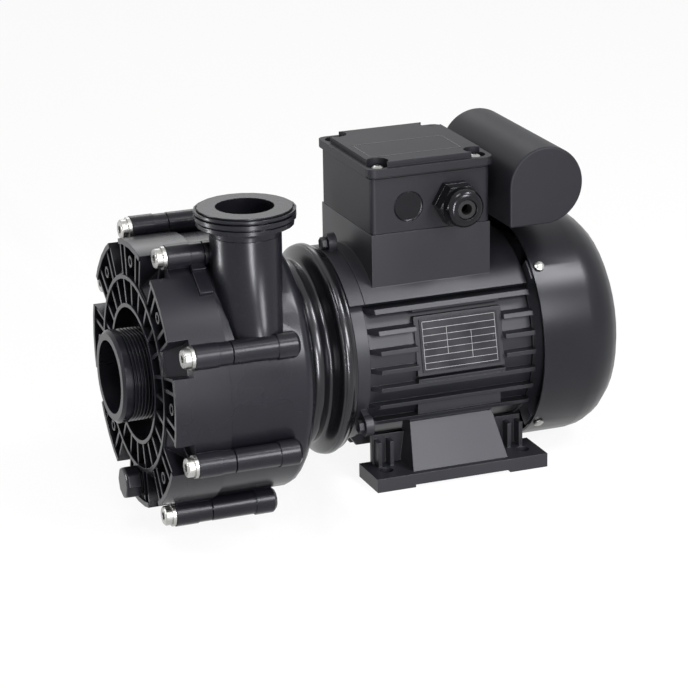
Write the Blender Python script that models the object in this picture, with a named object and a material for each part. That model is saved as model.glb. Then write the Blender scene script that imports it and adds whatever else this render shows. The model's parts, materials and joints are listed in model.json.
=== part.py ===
"""Close-coupled swimming pool pump: a moulded plastic wet end on a finned single-phase motor.

The origin is on the ground plane, midway between the four foot holes.
+X runs along the shaft from the inlet to the fan, -Y is the side with the cable gland, +Z is up.
All sizes are in metres.
"""
import bpy
import bmesh
from math import acos, asin, cos, degrees, radians, sin, sqrt, tau
from mathutils import Matrix, Vector

for old in list(bpy.data.objects):
    bpy.data.objects.remove(old, do_unlink=True)

# Fits and cutters
CLEARANCE = 0.0003
OVERRUN = 0.003
WELD = 0.000002

# Round faces: how many flats stand for a full turn
LARGE_STEPS = 40
MEDIUM_STEPS = 24
SMALL_STEPS = 12
FINE_STEPS = 8

# Shaft line and feet, after the standard 80 mm motor frame
SHAFT_HEIGHT = 0.080
FOOT_HOLE_INSET = 0.0085
FOOT_HOLE_SPACING_Y = 0.125
FOOT_HOLE_RADIUS = 0.0048
FOOT_END_MARGIN = 0.0120
FOOT_SIDE_MARGIN = 0.0147
FOOT_PAD_WIDTH = 0.034
FOOT_PAD_THICKNESS = 0.0096
FOOT_RELIEF = 0.0018
FOOT_WEB_BOTTOM_LENGTH = 0.069
FOOT_WEB_TOP_LENGTH = 0.060
FOOT_WEB_SETBACK = 0.0045
FOOT_WEB_TOP_Y = 0.0560
FOOT_WEB_DROP = 0.0410
FOOT_WEB_WALL = 0.0040
FOOT_INNER_WALL = 0.0050
FOOT_WALL_SETBACK = 0.0010
FOOT_RIB_THICKNESS = 0.0028
FOOT_RIB_SPACING = 0.0085
FOOT_RIB_REACH = 0.0080
FOOT_RIB_DROP = 0.0030
FOOT_END_WALL_HEIGHT = 0.0300
FOOT_SCREW_X = 0.0190
FOOT_SCREW_RADIUS = 0.0025
FOOT_SCREW_HEAD_RADIUS = 0.0037
FOOT_SCREW_HEAD = 0.0050
FOOT_SCREW_GRIP = 0.0080
FOOT_SEAT_WIDTH = 0.0120
FOOT_TOP_WALL = 0.0045

# Motor frame
FRAME_LENGTH = 0.1170
FRAME_OFFSET = 0.0015
SADDLE_STEP = 0.0003
SADDLE_EDGE = 0.0445
FIN_ROOT_RADIUS = 0.0620
FIN_DEPTH = 0.0072
FIN_THICKNESS = 0.0030
FIN_PITCH = 0.01285
FIN_TOP = 0.0393
FIN_COUNT = 7
FIN_END_BEVEL = 0.0080
BOTTOM_FIN_PITCH = 0.0125
BOTTOM_FIN_COUNT = 4
FRAME_WALL = 0.0100
PLATE_PAD_FRONT = 0.0275
PLATE_PAD_REAR = 0.0355
PLATE_PAD_HEIGHT = 0.0400
PLATE_PAD_ANGLE = 12.0
PLATE_PAD_RISE = 0.0012
PLATE_RIM_THICKNESS = 0.0022
LOW_PAD_FRONT = 0.0240
LOW_PAD_REAR = 0.0365

# Rating plate
RATING_PLATE_LENGTH = 0.0560
RATING_PLATE_HEIGHT = 0.0355
RATING_PLATE_THICKNESS = 0.0006

# Terminal box, its riser on the frame, and its lid
BOX_CENTRE_X = 0.0090
BOX_LENGTH = 0.0850
BOX_WIDTH = 0.0910
BOX_WALL = 0.0030
BOX_CORNER = 0.0035
RISER_RISE = 0.0885
RISER_WALL = 0.0040
BOX_HEIGHT = 0.0377
GASKET_THICKNESS = 0.0012
GASKET_WIDTH = 0.0022
LID_OVERHANG = 0.0025
LID_FLANGE = 0.0055
LID_STEP = 0.0045
LID_CROWN = 0.0035
LID_WALL = 0.0025
LID_POCKET_RADIUS = 0.0075
LID_POCKET_FLOOR = 0.0028
LID_SCREW_INSET = 0.0078
LID_SCREW_RADIUS = 0.0020
LID_SCREW_HEAD_RADIUS = 0.0042
LID_SCREW_HEAD = 0.0026
LID_SCREW_GRIP = 0.0140
SCREW_POST_RADIUS = 0.0052
WIRE_HOLE_RADIUS = 0.0120
BLOCK_LENGTH = 0.0440
BLOCK_WIDTH = 0.0300
BLOCK_HEIGHT = 0.0110
BLOCK_SETBACK = 0.0080
BLOCK_STUD_RADIUS = 0.0024
BLOCK_STUD_HEIGHT = 0.0080
BLOCK_STUD_SPACING = 0.0130

# Cable gland and the blank entry beside it
ENTRY_SPACING = 0.0320
ENTRY_CENTRE_X = 0.0090
ENTRY_RISE = 0.0170
ENTRY_RADIUS = 0.0105
ENTRY_DEPTH = 0.0012
GLAND_THREAD_RADIUS = 0.0100
GLAND_FLANGE_FLATS = 0.0270
GLAND_FLANGE = 0.0050
GLAND_BARREL_RADIUS = 0.0088
GLAND_BARREL = 0.0085
GLAND_BORE_RADIUS = 0.0070
GLAND_NUT_FLATS = 0.0265
GLAND_NUT_HEX = 0.0085
GLAND_NUT_DOME = 0.0095
GLAND_NUT_ROUND = 0.0050
GLAND_SEAL_RADIUS = 0.0066
GLAND_SEAL_HOLE_RADIUS = 0.0038
GLAND_SEAL_INSET = 0.0010
GLAND_TRAVEL = 0.0040

# Capacitor and its cover, lying across the shaft behind the terminal box
CAPACITOR_COVER_RADIUS = 0.0264
CAPACITOR_COVER_GAP = 0.0061
CAPACITOR_COVER_RISE = 0.0255
CAPACITOR_COVER_NEAR = 0.0650
CAPACITOR_COVER_FAR = 0.0520
CAPACITOR_COVER_WALL = 0.0022
CAPACITOR_RADIUS = 0.0200
CAPACITOR_LENGTH = 0.0900
CAPACITOR_DUCT_RADIUS = 0.0080
CAPACITOR_NECK_WIDTH = 0.0400
CAPACITOR_NECK_HEIGHT = 0.0220

# End shields, tie bolts and bearings
SHIELD_DEPTH = 0.0110
SHIELD_STEP = 0.0015
SHIELD_WEB = 0.0060
SHIELD_LUG_RADIUS = 0.0070
SHIELD_LUG_INSET = 0.0005
SHIELD_LUG_SETBACK = 0.0045
SHIELD_LUG_RISE = 0.0110
SHIELD_LUG_COUNT = 3
SHIELD_LUG_ANGLE = -30.0
TIE_BOLT_COUNT = 4
TIE_BOLT_ANGLE = 45.0
TIE_BOLT_RADIUS = 0.0025
TIE_BOLT_HEAD_RADIUS = 0.0045
TIE_BOLT_HEAD = 0.0040
REAR_SHIELD_DEPTH = 0.0120
BEARING_RADIUS = 0.0235
BEARING_WIDTH = 0.0140
BEARING_HUB_WALL = 0.0050
HUB_SHOULDER = 0.0025

# Stator, rotor and shaft
STATOR_LENGTH = 0.0600
STATOR_BORE_RADIUS = 0.0340
WINDING_LENGTH = 0.0150
WINDING_OUTER_RADIUS = 0.0490
WINDING_INNER_RADIUS = 0.0370
WINDING_ROUND = 0.0030
AIR_GAP = 0.0006
ROTOR_OVERHANG = 0.0030
SHAFT_RADIUS = 0.0100
SHAFT_CORE_RADIUS = 0.0130
SHAFT_WET_RADIUS = 0.0080
SHAFT_STUD_RADIUS = 0.0050
SHAFT_STUD_LENGTH = 0.0120
SHAFT_STUD_INSET = 0.0010
SHAFT_STEP_LEAD = 0.0020

# Fan and fan cowl
COWL_STEP = 0.0091
COWL_SETBACK = 0.0024
COWL_TAIL = 0.0160
COWL_REAR_ROUND = 0.0300
COWL_WALL = 0.0014
COWL_SCREW_SETBACK = 0.0056
COWL_SCREW_ANGLE = 45.0
COWL_SCREW_COUNT = 4
COWL_SCREW_RADIUS = 0.0020
COWL_SCREW_HEAD_RADIUS = 0.0036
COWL_SCREW_HEAD = 0.0020
COWL_SCREW_GRIP = 0.0080
GRILLE_SLOTS = 20
GRILLE_INNER_RADIUS = 0.0160
GRILLE_MARGIN = 0.0043
GRILLE_SLOT_WIDTH = 0.0026
FAN_TIP_GAP = 0.0159
FAN_HUB_RADIUS = 0.0180
FAN_GAP = 0.0147
FAN_WIDTH = 0.0240
FAN_DISC = 0.0030
FAN_BLADES = 8
FAN_BLADE_THICKNESS = 0.0024

# Adapter between motor and pump casing
ADAPTER_LENGTH = 0.0325
ADAPTER_NOSE_RADIUS = 0.0580
ADAPTER_STEP_RADIUS = 0.0655
ADAPTER_WAIST_RADIUS = 0.0632
ADAPTER_RADIUS = 0.0720
ADAPTER_STEP_LENGTH = 0.0150
ADAPTER_STEP_ROUND = 0.0080
ADAPTER_HOLLOW_RADIUS = 0.0500
ADAPTER_WALL = 0.0060
ADAPTER_BORE_RADIUS = 0.0220
SLINGER_RADIUS = 0.0170
SLINGER_WIDTH = 0.0040

# Pump casing
CASING_LENGTH = 0.0630
CASING_STEP = 0.0020
CASING_WALL = 0.0045
CASING_REAR_WALL = 0.0070
CASING_RIM_DROP = 0.0140
CASING_SHOULDER_ROUND = 0.0080
CASING_CHAMFER_LENGTH = 0.0030
CASING_CHAMFER_DROP = 0.0045
SEAL_PLATE_RADIUS = 0.0300
SEAL_PLATE_FLANGE = 0.0400
SEAL_PLATE_LIP = 0.0030
OUTLET_BEHIND_JOINT = 0.0260
OUTLET_INSET = 0.0385
OUTLET_RISE = 0.0324
OUTLET_PIPE_RADIUS = 0.0234
OUTLET_BORE_RADIUS = 0.0193
OUTLET_FLANGE_RADIUS = 0.0334
OUTLET_FLANGE_THICKNESS = 0.0115
OUTLET_FLANGE_LIP = 0.0022
OUTLET_FLANGE_STEP = 0.0012
OUTLET_FACE_GROOVE = 0.0010
OUTLET_GROOVE = 0.0014
OUTLET_GROOVES = 2
OUTLET_FILLET = 0.0040

# Front cover
SKIRT_LENGTH = 0.0380
SKIRT_RADIUS = 0.0905
SKIRT_WALL = 0.0035
COVER_FLOOR_DEPTH = 0.0170
COVER_PLATE = 0.0050
COVER_RING_SHARES = (0.508, 0.718)
COVER_RING_THICKNESS = 0.0026
COVER_RIB_THICKNESS = 0.0024
COVER_RIB_ANGLE = 8.0
RING_RIB_ANGLES = (-15.0, 0.0, 15.0)
COVER_RIB_SETBACK = 0.0010
INLET_REACH = 0.0162
INLET_RADIUS = 0.0313
INLET_BORE_RADIUS = 0.0247
INLET_CHAMFER = 0.0020
INLET_NOSE = 0.0065
INLET_THREAD_ROOT_RADIUS = 0.0298
SUCTION_TUBE_RADIUS = 0.0280
SUCTION_TUBE_GAP = 0.0020
SCALLOP_HALF_WIDTH = 0.0130
SCALLOP_INNER_SHARE = 0.62
SCALLOP_FLOOR_DEPTH = 0.0136
SCALLOP_LIP_DEPTH = 0.0025
SCALLOP_TRIM = 0.0005
SCALLOP_SLOPE_SHARE = 0.45
SPUR_HEIGHT = 0.0035
COVER_EYE_RADIUS = 0.0042
COVER_EYE_HOLE_RADIUS = 0.0024
COVER_EYE_INSET = 0.0130
REGISTER_DEPTH = 0.0040
REGISTER_WALL = 0.0025
ORING_RADIUS = 0.0010
ORING_SEAT = 0.0026

# Casing bolts and the bosses they pass through
BOLT_COUNT = 8
BOLT_FIRST_ANGLE = 22.5
BOLT_OFFSET = 0.0057
BOLT_RADIUS = 0.0030
BOLT_HEAD_RADIUS = 0.0066
BOLT_HEAD = 0.0048
BOLT_SOCKET_RADIUS = 0.0030
BOLT_SOCKET_DEPTH = 0.0026
BOLT_WASHER_RADIUS = 0.0078
BOLT_WASHER = 0.0022
BOLT_ENTRY = 0.0080
COVER_BOSS_LENGTH = 0.0250
COVER_BOSS_RADIUS = 0.0083
COVER_BOSS_NECK_RADIUS = 0.0078
COVER_BOSS_NECK_LENGTH = 0.0090
COVER_BOSS_RELIEF = 0.0002
CASING_BOSS_LENGTH = 0.0455
CASING_BOSS_RADIUS = 0.0080
CASING_BOSS_END_RADIUS = 0.0088
CASING_BOSS_END_LENGTH = 0.0150

# Drain plug
DRAIN_INSET = 0.0145
DRAIN_HEAD_RADIUS = 0.0112
DRAIN_HEAD = 0.0105
DRAIN_STEM_RADIUS = 0.0062
DRAIN_STEM = 0.0090
DRAIN_BOSS_RADIUS = 0.0120
DRAIN_SEAL_RADIUS = 0.0012
DRAIN_SEAT_DEPTH = 0.0030

# Impeller and shaft seal
IMPELLER_RADIUS = 0.0600
IMPELLER_WIDTH = 0.0180
IMPELLER_SHROUD = 0.0026
IMPELLER_EYE_RADIUS = 0.0310
IMPELLER_HUB_RADIUS = 0.0140
IMPELLER_HUB_LENGTH = 0.0220
IMPELLER_REAR_GAP = 0.0140
IMPELLER_VANES = 6
IMPELLER_VANE_THICKNESS = 0.0024
IMPELLER_VANE_SWEEP = 70.0
IMPELLER_NUT_RADIUS = 0.0095
IMPELLER_NUT_LENGTH = 0.0080
SEAL_ROTOR_RADIUS = 0.0140
SEAL_SEAT_RADIUS = 0.0150
SEAL_SEAT_WIDTH = 0.0060
SEAL_RUNNING_GAP = 0.0010

# Radii, heights and widths, worked out from the sizes above
FIN_TIP_RADIUS = FIN_ROOT_RADIUS + FIN_DEPTH
SADDLE_RADIUS = FIN_TIP_RADIUS + SADDLE_STEP
FRAME_BORE_RADIUS = FIN_ROOT_RADIUS - FRAME_WALL
PLATE_PAD_DISTANCE = FIN_ROOT_RADIUS + PLATE_PAD_RISE
SHIELD_RADIUS = FIN_ROOT_RADIUS + SHIELD_STEP
SHIELD_LUG_CIRCLE = FIN_ROOT_RADIUS + SHIELD_LUG_RISE
TIE_BOLT_CIRCLE = (FRAME_BORE_RADIUS + FIN_ROOT_RADIUS) / 2
COWL_RADIUS = FIN_TIP_RADIUS + COWL_STEP
FAN_RADIUS = COWL_RADIUS - COWL_WALL - FAN_TIP_GAP
GRILLE_OUTER_RADIUS = COWL_RADIUS - COWL_REAR_ROUND - GRILLE_MARGIN
CASING_RADIUS = SKIRT_RADIUS - CASING_STEP
CASING_RIM_RADIUS = CASING_RADIUS - CASING_RIM_DROP
BOLT_CIRCLE = SKIRT_RADIUS + BOLT_OFFSET
COVER_RING_RADII = tuple(SKIRT_RADIUS * share for share in COVER_RING_SHARES)
DRAIN_DROP = SKIRT_RADIUS - DRAIN_INSET
OUTLET_Y = CASING_RADIUS - OUTLET_INSET
OUTLET_TOP = SHAFT_HEIGHT + CASING_RADIUS + OUTLET_RISE
FOOT_HOLE_SPACING_X = FRAME_LENGTH - FOOT_HOLE_INSET * 2
FOOT_LENGTH = FOOT_HOLE_SPACING_X + FOOT_END_MARGIN * 2
FOOT_OUTER_Y = FOOT_HOLE_SPACING_Y / 2 + FOOT_SIDE_MARGIN
FOOT_WEB_HEIGHT = SHAFT_HEIGHT - FOOT_WEB_DROP
FOOT_SCREW_Y = FOOT_WEB_TOP_Y - FOOT_SEAT_WIDTH / 2
RISER_TOP = SHAFT_HEIGHT + RISER_RISE
BOX_TOP = RISER_TOP + BOX_HEIGHT
ENTRY_HEIGHT = RISER_TOP + ENTRY_RISE
CAPACITOR_COVER_Z = RISER_TOP + CAPACITOR_COVER_RISE

# Stations along the shaft, worked out from the lengths above
FRAME_FRONT_X = -FRAME_LENGTH / 2 - FRAME_OFFSET
FRAME_REAR_X = FRAME_FRONT_X + FRAME_LENGTH
SHIELD_FRONT_X = FRAME_FRONT_X - SHIELD_DEPTH
ADAPTER_FRONT_X = SHIELD_FRONT_X - ADAPTER_LENGTH
CASING_REAR_X = ADAPTER_FRONT_X - CLEARANCE
JOINT_X = CASING_REAR_X - CASING_LENGTH
SKIRT_FRONT_X = JOINT_X - SKIRT_LENGTH
INLET_FACE_X = SKIRT_FRONT_X - INLET_REACH
COVER_FLOOR_X = SKIRT_FRONT_X + COVER_FLOOR_DEPTH
COVER_BACK_X = COVER_FLOOR_X + COVER_PLATE
BOSS_SEAT_X = JOINT_X - COVER_BOSS_LENGTH
BOX_MIDDLE_X = -BOX_CENTRE_X
BOX_FRONT_X = BOX_MIDDLE_X - BOX_LENGTH / 2
BOX_REAR_X = BOX_MIDDLE_X + BOX_LENGTH / 2
BOX_FLOOR_Z = RISER_TOP + CLEARANCE
GASKET_Z = BOX_TOP + CLEARANCE
LID_Z = GASKET_Z + GASKET_THICKNESS + CLEARANCE
CASING_FRONT_X = JOINT_X + CLEARANCE
CASING_INNER_RADIUS = CASING_RADIUS - CASING_WALL
CASING_WALL_X = CASING_REAR_X - CASING_REAR_WALL
IMPELLER_BACK_X = CASING_WALL_X - IMPELLER_REAR_GAP
IMPELLER_FRONT_X = IMPELLER_BACK_X - IMPELLER_WIDTH
OUTLET_X = JOINT_X + OUTLET_BEHIND_JOINT
REAR_SHIELD_X = FRAME_REAR_X + CLEARANCE
FAN_FRONT = REAR_SHIELD_X + REAR_SHIELD_DEPTH + FAN_GAP
FAN_REAR_X = FAN_FRONT + FAN_WIDTH
COWL_FRONT = FRAME_REAR_X + COWL_SETBACK
COWL_REAR = FAN_REAR_X + COWL_TAIL
COWL_SCREW_X = COWL_FRONT + COWL_SCREW_SETBACK
CAPACITOR_COVER_X = BOX_REAR_X + CAPACITOR_COVER_GAP + CAPACITOR_COVER_RADIUS
FRONT_BEARING_X = SHIELD_FRONT_X + HUB_SHOULDER + CLEARANCE
REAR_BEARING_X = REAR_SHIELD_X + REAR_SHIELD_DEPTH - HUB_SHOULDER - CLEARANCE - BEARING_WIDTH
IMPELLER_HUB_FRONT_X = IMPELLER_BACK_X - IMPELLER_HUB_LENGTH
ENTRY_MIDDLE_X = -ENTRY_CENTRE_X
CAPACITOR_DUCT_Z = (BOX_FLOOR_Z + BOX_TOP) / 2
DRAIN_SEAT_X = SKIRT_FRONT_X + DRAIN_SEAT_DEPTH

FINISHES = {
    "moulded_plastic": ((0.045, 0.046, 0.050), 0.45, 0.0),
    "gloss_black_paint": ((0.016, 0.016, 0.018), 0.18, 0.0),
    "matt_black_paint": ((0.030, 0.030, 0.034), 0.50, 0.0),
    "cowl_metal": ((0.090, 0.090, 0.098), 0.35, 0.8),
    "zinc_steel": ((0.620, 0.620, 0.600), 0.30, 1.0),
    "bright_steel": ((0.550, 0.560, 0.580), 0.25, 1.0),
    "copper_wire": ((0.600, 0.240, 0.110), 0.40, 0.9),
    "core_steel": ((0.280, 0.280, 0.290), 0.50, 0.9),
    "rubber": ((0.018, 0.018, 0.018), 0.80, 0.0),
    "plate_metal": ((0.200, 0.200, 0.210), 0.45, 0.7),
    "brown_insulator": ((0.150, 0.060, 0.030), 0.50, 0.0),
    "white_plastic": ((0.700, 0.700, 0.680), 0.50, 0.0),
    "ceramic": ((0.750, 0.720, 0.660), 0.30, 0.0),
    "tool": ((0.800, 0.300, 0.100), 0.50, 0.0),
}


# Modelling helpers
def body(name, mesh_tool, finish, place=(0.0, 0.0, 0.0)):
    """Turn an edit mesh into a named object with its own material."""
    mesh = bpy.data.meshes.new(name)
    bmesh.ops.recalc_face_normals(mesh_tool, faces=mesh_tool.faces)
    mesh_tool.to_mesh(mesh)
    mesh_tool.free()
    mesh.shade_smooth()
    mesh.set_sharp_from_angle(angle=radians(35.0))
    thing = bpy.data.objects.new(name, mesh)
    thing.location = place
    bpy.context.scene.collection.objects.link(thing)
    colour, roughness, metallic = FINISHES[finish]
    material = bpy.data.materials.new(name + "_finish")
    material.use_nodes = True
    shader = material.node_tree.nodes["Principled BSDF"]
    shader.inputs["Base Color"].default_value = (*colour, 1.0)
    shader.inputs["Roughness"].default_value = roughness
    shader.inputs["Metallic"].default_value = metallic
    mesh.materials.append(material)
    return thing


def lathe(outline, steps=LARGE_STEPS):
    """Spin an outline of (x, radius) points about the X axis."""
    tool = bmesh.new()
    points = [tool.verts.new((x, 0.0, radius)) for x, radius in outline]
    for first, second in zip(points, points[1:]):
        tool.edges.new((first, second))
    if outline[0][1] > 0.0 or outline[-1][1] > 0.0:
        tool.edges.new((points[-1], points[0]))
    bmesh.ops.spin(tool, geom=tool.verts[:] + tool.edges[:], cent=(0.0, 0.0, 0.0),
                   axis=(1.0, 0.0, 0.0), angle=tau, steps=steps, use_merge=True)
    bmesh.ops.remove_doubles(tool, verts=tool.verts, dist=WELD)
    middles = [vert for vert in tool.verts if vert.co.yz.length < WELD
               and all(abs(edge.other_vert(vert).co.x - vert.co.x) < WELD
                       for edge in vert.link_edges)]
    bmesh.ops.dissolve_verts(tool, verts=middles)
    return tool


def prism(outline, axis, start, end):
    """Extrude a flat outline along X, Y or Z from start to end."""
    to_space = {
        "X": lambda u, v: (start, u, v),
        "Y": lambda u, v: (u, start, v),
        "Z": lambda u, v: (u, v, start),
    }[axis]
    tool = bmesh.new()
    face = tool.faces.new([tool.verts.new(to_space(u, v)) for u, v in outline])
    grown = bmesh.ops.extrude_face_region(tool, geom=[face])
    reach = {"X": Vector((end - start, 0, 0)), "Y": Vector((0, end - start, 0)),
             "Z": Vector((0, 0, end - start))}[axis]
    moved = [item for item in grown["geom"] if isinstance(item, bmesh.types.BMVert)]
    bmesh.ops.translate(tool, verts=moved, vec=reach)
    return tool


def block(low, high):
    """A box from its lowest corner to its highest."""
    tool = bmesh.new()
    bmesh.ops.create_cube(tool, size=1.0)
    size = Vector(high) - Vector(low)
    bmesh.ops.scale(tool, verts=tool.verts, vec=size)
    bmesh.ops.translate(tool, verts=tool.verts, vec=(Vector(high) + Vector(low)) / 2)
    return tool


def rod(radius, start, end, steps=SMALL_STEPS):
    """A round bar along X."""
    return lathe([(start, 0.0), (start, radius), (end, radius), (end, 0.0)], steps)


def tube(outer, inner, start, end, steps=MEDIUM_STEPS):
    """A round tube along X."""
    return lathe([(start, inner), (start, outer), (end, outer), (end, inner)], steps)


def turned(tool, angle, axis):
    """Turn an edit mesh about the origin."""
    bmesh.ops.rotate(tool, verts=tool.verts, cent=(0.0, 0.0, 0.0),
                     matrix=Matrix.Rotation(radians(angle), 3, axis))
    return tool


def upright(tool):
    """Turn a shape made along +X so that it stands along +Z."""
    return turned(tool, -90.0, "Y")


def facing_near(tool):
    """Turn a shape made along +X so that it points to the near side, -Y."""
    return turned(tool, -90.0, "Z")


def shifted(tool, *offset):
    """Move an edit mesh."""
    bmesh.ops.translate(tool, verts=tool.verts, vec=offset)
    return tool


def gathered(tools):
    """Put several edit meshes in one."""
    whole = bmesh.new()
    for tool in tools:
        piece = bpy.data.meshes.new("gathered_piece")
        bmesh.ops.recalc_face_normals(tool, faces=tool.faces)
        tool.to_mesh(piece)
        tool.free()
        whole.from_mesh(piece)
        bpy.data.meshes.remove(piece)
    return whole


def around(tool_maker, count, first_angle=0.0, circle=0.0):
    """Copies of a shape spaced round the X axis; angle 0 is the -Y side and angles rise towards +Z."""
    copies = []
    for number in range(count):
        angle = first_angle + number * 360.0 / count
        copies.append(shaft_angle(tool_maker(), angle, circle))
    return gathered(copies)


def shaft_angle(tool, angle, circle=0.0):
    """Move a shape out to -Y by a radius, then turn it up round the X axis."""
    shifted(tool, 0.0, -circle, 0.0)
    return turned(tool, -angle, "X")


def combine(target, tool, operation, touching=False):
    """Add a Boolean modifier whose tool is a hidden wire object."""
    helper = body(target.name + "_tool", tool, "tool", target.location)
    helper.hide_render = True
    helper.display_type = "WIRE"
    change = target.modifiers.new("shape", "BOOLEAN")
    change.operation = operation
    change.solver = "EXACT"
    change.use_self = touching
    change.object = helper
    return helper


def add(target, tool, touching=False):
    return combine(target, tool, "UNION", touching)


def cut(target, tool, touching=False):
    return combine(target, tool, "DIFFERENCE", touching)


def spare(cutter, tool):
    """Keep a cutter out of the space of another shape."""
    return combine(cutter, tool, "DIFFERENCE")


def soften(target, width, segments=2):
    """Round a piece's sharp edges with a Bevel modifier."""
    edge = target.modifiers.new("edges", "BEVEL")
    edge.width = width
    edge.segments = segments
    edge.limit_method = "ANGLE"
    edge.angle_limit = radians(50.0)
    return edge


def arc(centre, radius, start, end, count):
    """Points on a circle, from one angle in degrees to another."""
    steps = [radians(start + (end - start) * number / count) for number in range(count + 1)]
    return [(centre[0] + radius * cos(step), centre[1] + radius * sin(step)) for step in steps]


def hexagon(across_flats):
    """Corner points of a hexagon with two flats parallel to its first axis."""
    corner = across_flats / sqrt(3.0)
    return [(corner * cos(tau * side / 6), corner * sin(tau * side / 6)) for side in range(6)]


AXIS = (0.0, 0.0, SHAFT_HEIGHT)


def on_axis(name, tool, finish):
    return body(name, tool, finish, AXIS)


# Motor
def frame_outline():
    """Cross-section of the frame: a smooth saddle on top, parallel fins on both sides and below."""
    half = FIN_THICKNESS / 2
    edge_angle = degrees(asin(SADDLE_EDGE / SADDLE_RADIUS))
    side = arc((0.0, 0.0), SADDLE_RADIUS, 90.0, edge_angle, 9)
    side.append((sqrt(FIN_ROOT_RADIUS ** 2 - SADDLE_EDGE ** 2), SADDLE_EDGE))
    for number in range(FIN_COUNT):
        height = FIN_TOP - number * FIN_PITCH
        for level, radius in ((height + half, FIN_ROOT_RADIUS), (height + half, FIN_TIP_RADIUS),
                              (height - half, FIN_TIP_RADIUS), (height - half, FIN_ROOT_RADIUS)):
            side.append((sqrt(radius ** 2 - level ** 2), level))
    bottom_reach = BOTTOM_FIN_PITCH * (BOTTOM_FIN_COUNT - 1) / 2
    lowest_angle = degrees(asin(side[-1][1] / FIN_ROOT_RADIUS))
    bottom_angle = -degrees(acos((bottom_reach + half) / FIN_ROOT_RADIUS))
    side += arc((0.0, 0.0), FIN_ROOT_RADIUS, lowest_angle, bottom_angle, 4)[1:]
    for number in range(BOTTOM_FIN_COUNT // 2):
        across = bottom_reach - number * BOTTOM_FIN_PITCH
        if number > 0:
            side.append((across + half, -sqrt(FIN_ROOT_RADIUS ** 2 - (across + half) ** 2)))
        for place, radius in ((across + half, FIN_TIP_RADIUS), (across - half, FIN_TIP_RADIUS),
                              (across - half, FIN_ROOT_RADIUS)):
            side.append((place, -sqrt(radius ** 2 - place ** 2)))
    mirrored = [(-across, level) for across, level in reversed(side[1:])]
    return side + mirrored


def make_frame():
    frame = on_axis("motor_frame", prism(frame_outline(), "X", FRAME_FRONT_X, FRAME_REAR_X),
                    "matt_black_paint")
    outside = SADDLE_RADIUS + OVERRUN
    bevel = cut(frame, lathe([
        (FRAME_FRONT_X - OVERRUN, FIN_ROOT_RADIUS),
        (FRAME_FRONT_X, FIN_ROOT_RADIUS),
        (FRAME_FRONT_X + FIN_END_BEVEL, outside),
        (FRAME_FRONT_X - OVERRUN, outside),
    ]))
    spare(bevel, block((FRAME_FRONT_X - FIN_END_BEVEL, -outside, SADDLE_EDGE - FIN_THICKNESS / 2),
                       (FRAME_FRONT_X + FIN_END_BEVEL * 2, outside, outside)))
    riser_height = RISER_TOP - SHAFT_HEIGHT
    add(frame, block((BOX_FRONT_X, -BOX_WIDTH / 2, SADDLE_EDGE - FIN_THICKNESS / 2),
                     (BOX_REAR_X, BOX_WIDTH / 2, riser_height)))
    pad_half = PLATE_PAD_HEIGHT / 2
    pad = block((-PLATE_PAD_FRONT, -PLATE_PAD_DISTANCE, -pad_half),
                (PLATE_PAD_REAR, -FRAME_BORE_RADIUS, pad_half))
    add(frame, turned(pad, -PLATE_PAD_ANGLE, "X"))
    pocket = block((-PLATE_PAD_FRONT, -outside, -pad_half),
                   (PLATE_PAD_REAR, -PLATE_PAD_DISTANCE, pad_half))
    cut(frame, turned(pocket, -PLATE_PAD_ANGLE, "X"))
    for number, way in ((0, -1), (4, 1)):
        level = FIN_TOP - number * FIN_PITCH
        edge = level + way * (FIN_THICKNESS / 2 + PLATE_RIM_THICKNESS)
        rim_y = sqrt(FIN_TIP_RADIUS ** 2 - level ** 2) - PLATE_RIM_THICKNESS / 2
        add(frame, block((-PLATE_PAD_FRONT, -rim_y, min(level, edge)),
                         (PLATE_PAD_REAR, -FRAME_BORE_RADIUS, max(level, edge))))
    low_fin = FIN_TOP - (FIN_COUNT - 1) * FIN_PITCH
    low_pad_y = sqrt(FIN_TIP_RADIUS ** 2 - low_fin ** 2) - FIN_THICKNESS / 2
    add(frame, block((-LOW_PAD_FRONT, -low_pad_y, low_fin),
                     (LOW_PAD_REAR, -FRAME_BORE_RADIUS / 2, low_fin + FIN_PITCH)))
    seat_inner = FOOT_WEB_TOP_Y - FOOT_SEAT_WIDTH
    for side in (-1, 1):
        add(frame, block(
            (-FOOT_WEB_TOP_LENGTH / 2, side * seat_inner, FOOT_WEB_HEIGHT + CLEARANCE - SHAFT_HEIGHT),
            (FOOT_WEB_TOP_LENGTH / 2, side * FOOT_WEB_TOP_Y, low_fin)))
        for place in (-FOOT_SCREW_X, FOOT_SCREW_X):
            hole = rod(FOOT_SCREW_RADIUS + CLEARANCE, FOOT_WEB_HEIGHT - SHAFT_HEIGHT - OVERRUN,
                       FOOT_WEB_HEIGHT + FOOT_SCREW_GRIP - SHAFT_HEIGHT, FINE_STEPS)
            cut(frame, shifted(upright(hole), place, side * FOOT_SCREW_Y, 0.0))
    cut(frame, around(lambda: rod(TIE_BOLT_RADIUS + CLEARANCE, FRAME_FRONT_X - OVERRUN,
                                  FRAME_REAR_X + OVERRUN, FINE_STEPS),
                      TIE_BOLT_COUNT, TIE_BOLT_ANGLE, TIE_BOLT_CIRCLE))
    cut(frame, rod(FRAME_BORE_RADIUS, FRAME_FRONT_X - OVERRUN, FRAME_REAR_X + OVERRUN,
                   LARGE_STEPS))
    cut(frame, block((BOX_FRONT_X + RISER_WALL, -BOX_WIDTH / 2 + RISER_WALL, SADDLE_RADIUS),
                     (BOX_REAR_X - RISER_WALL, BOX_WIDTH / 2 - RISER_WALL,
                      riser_height + OVERRUN)))


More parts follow.
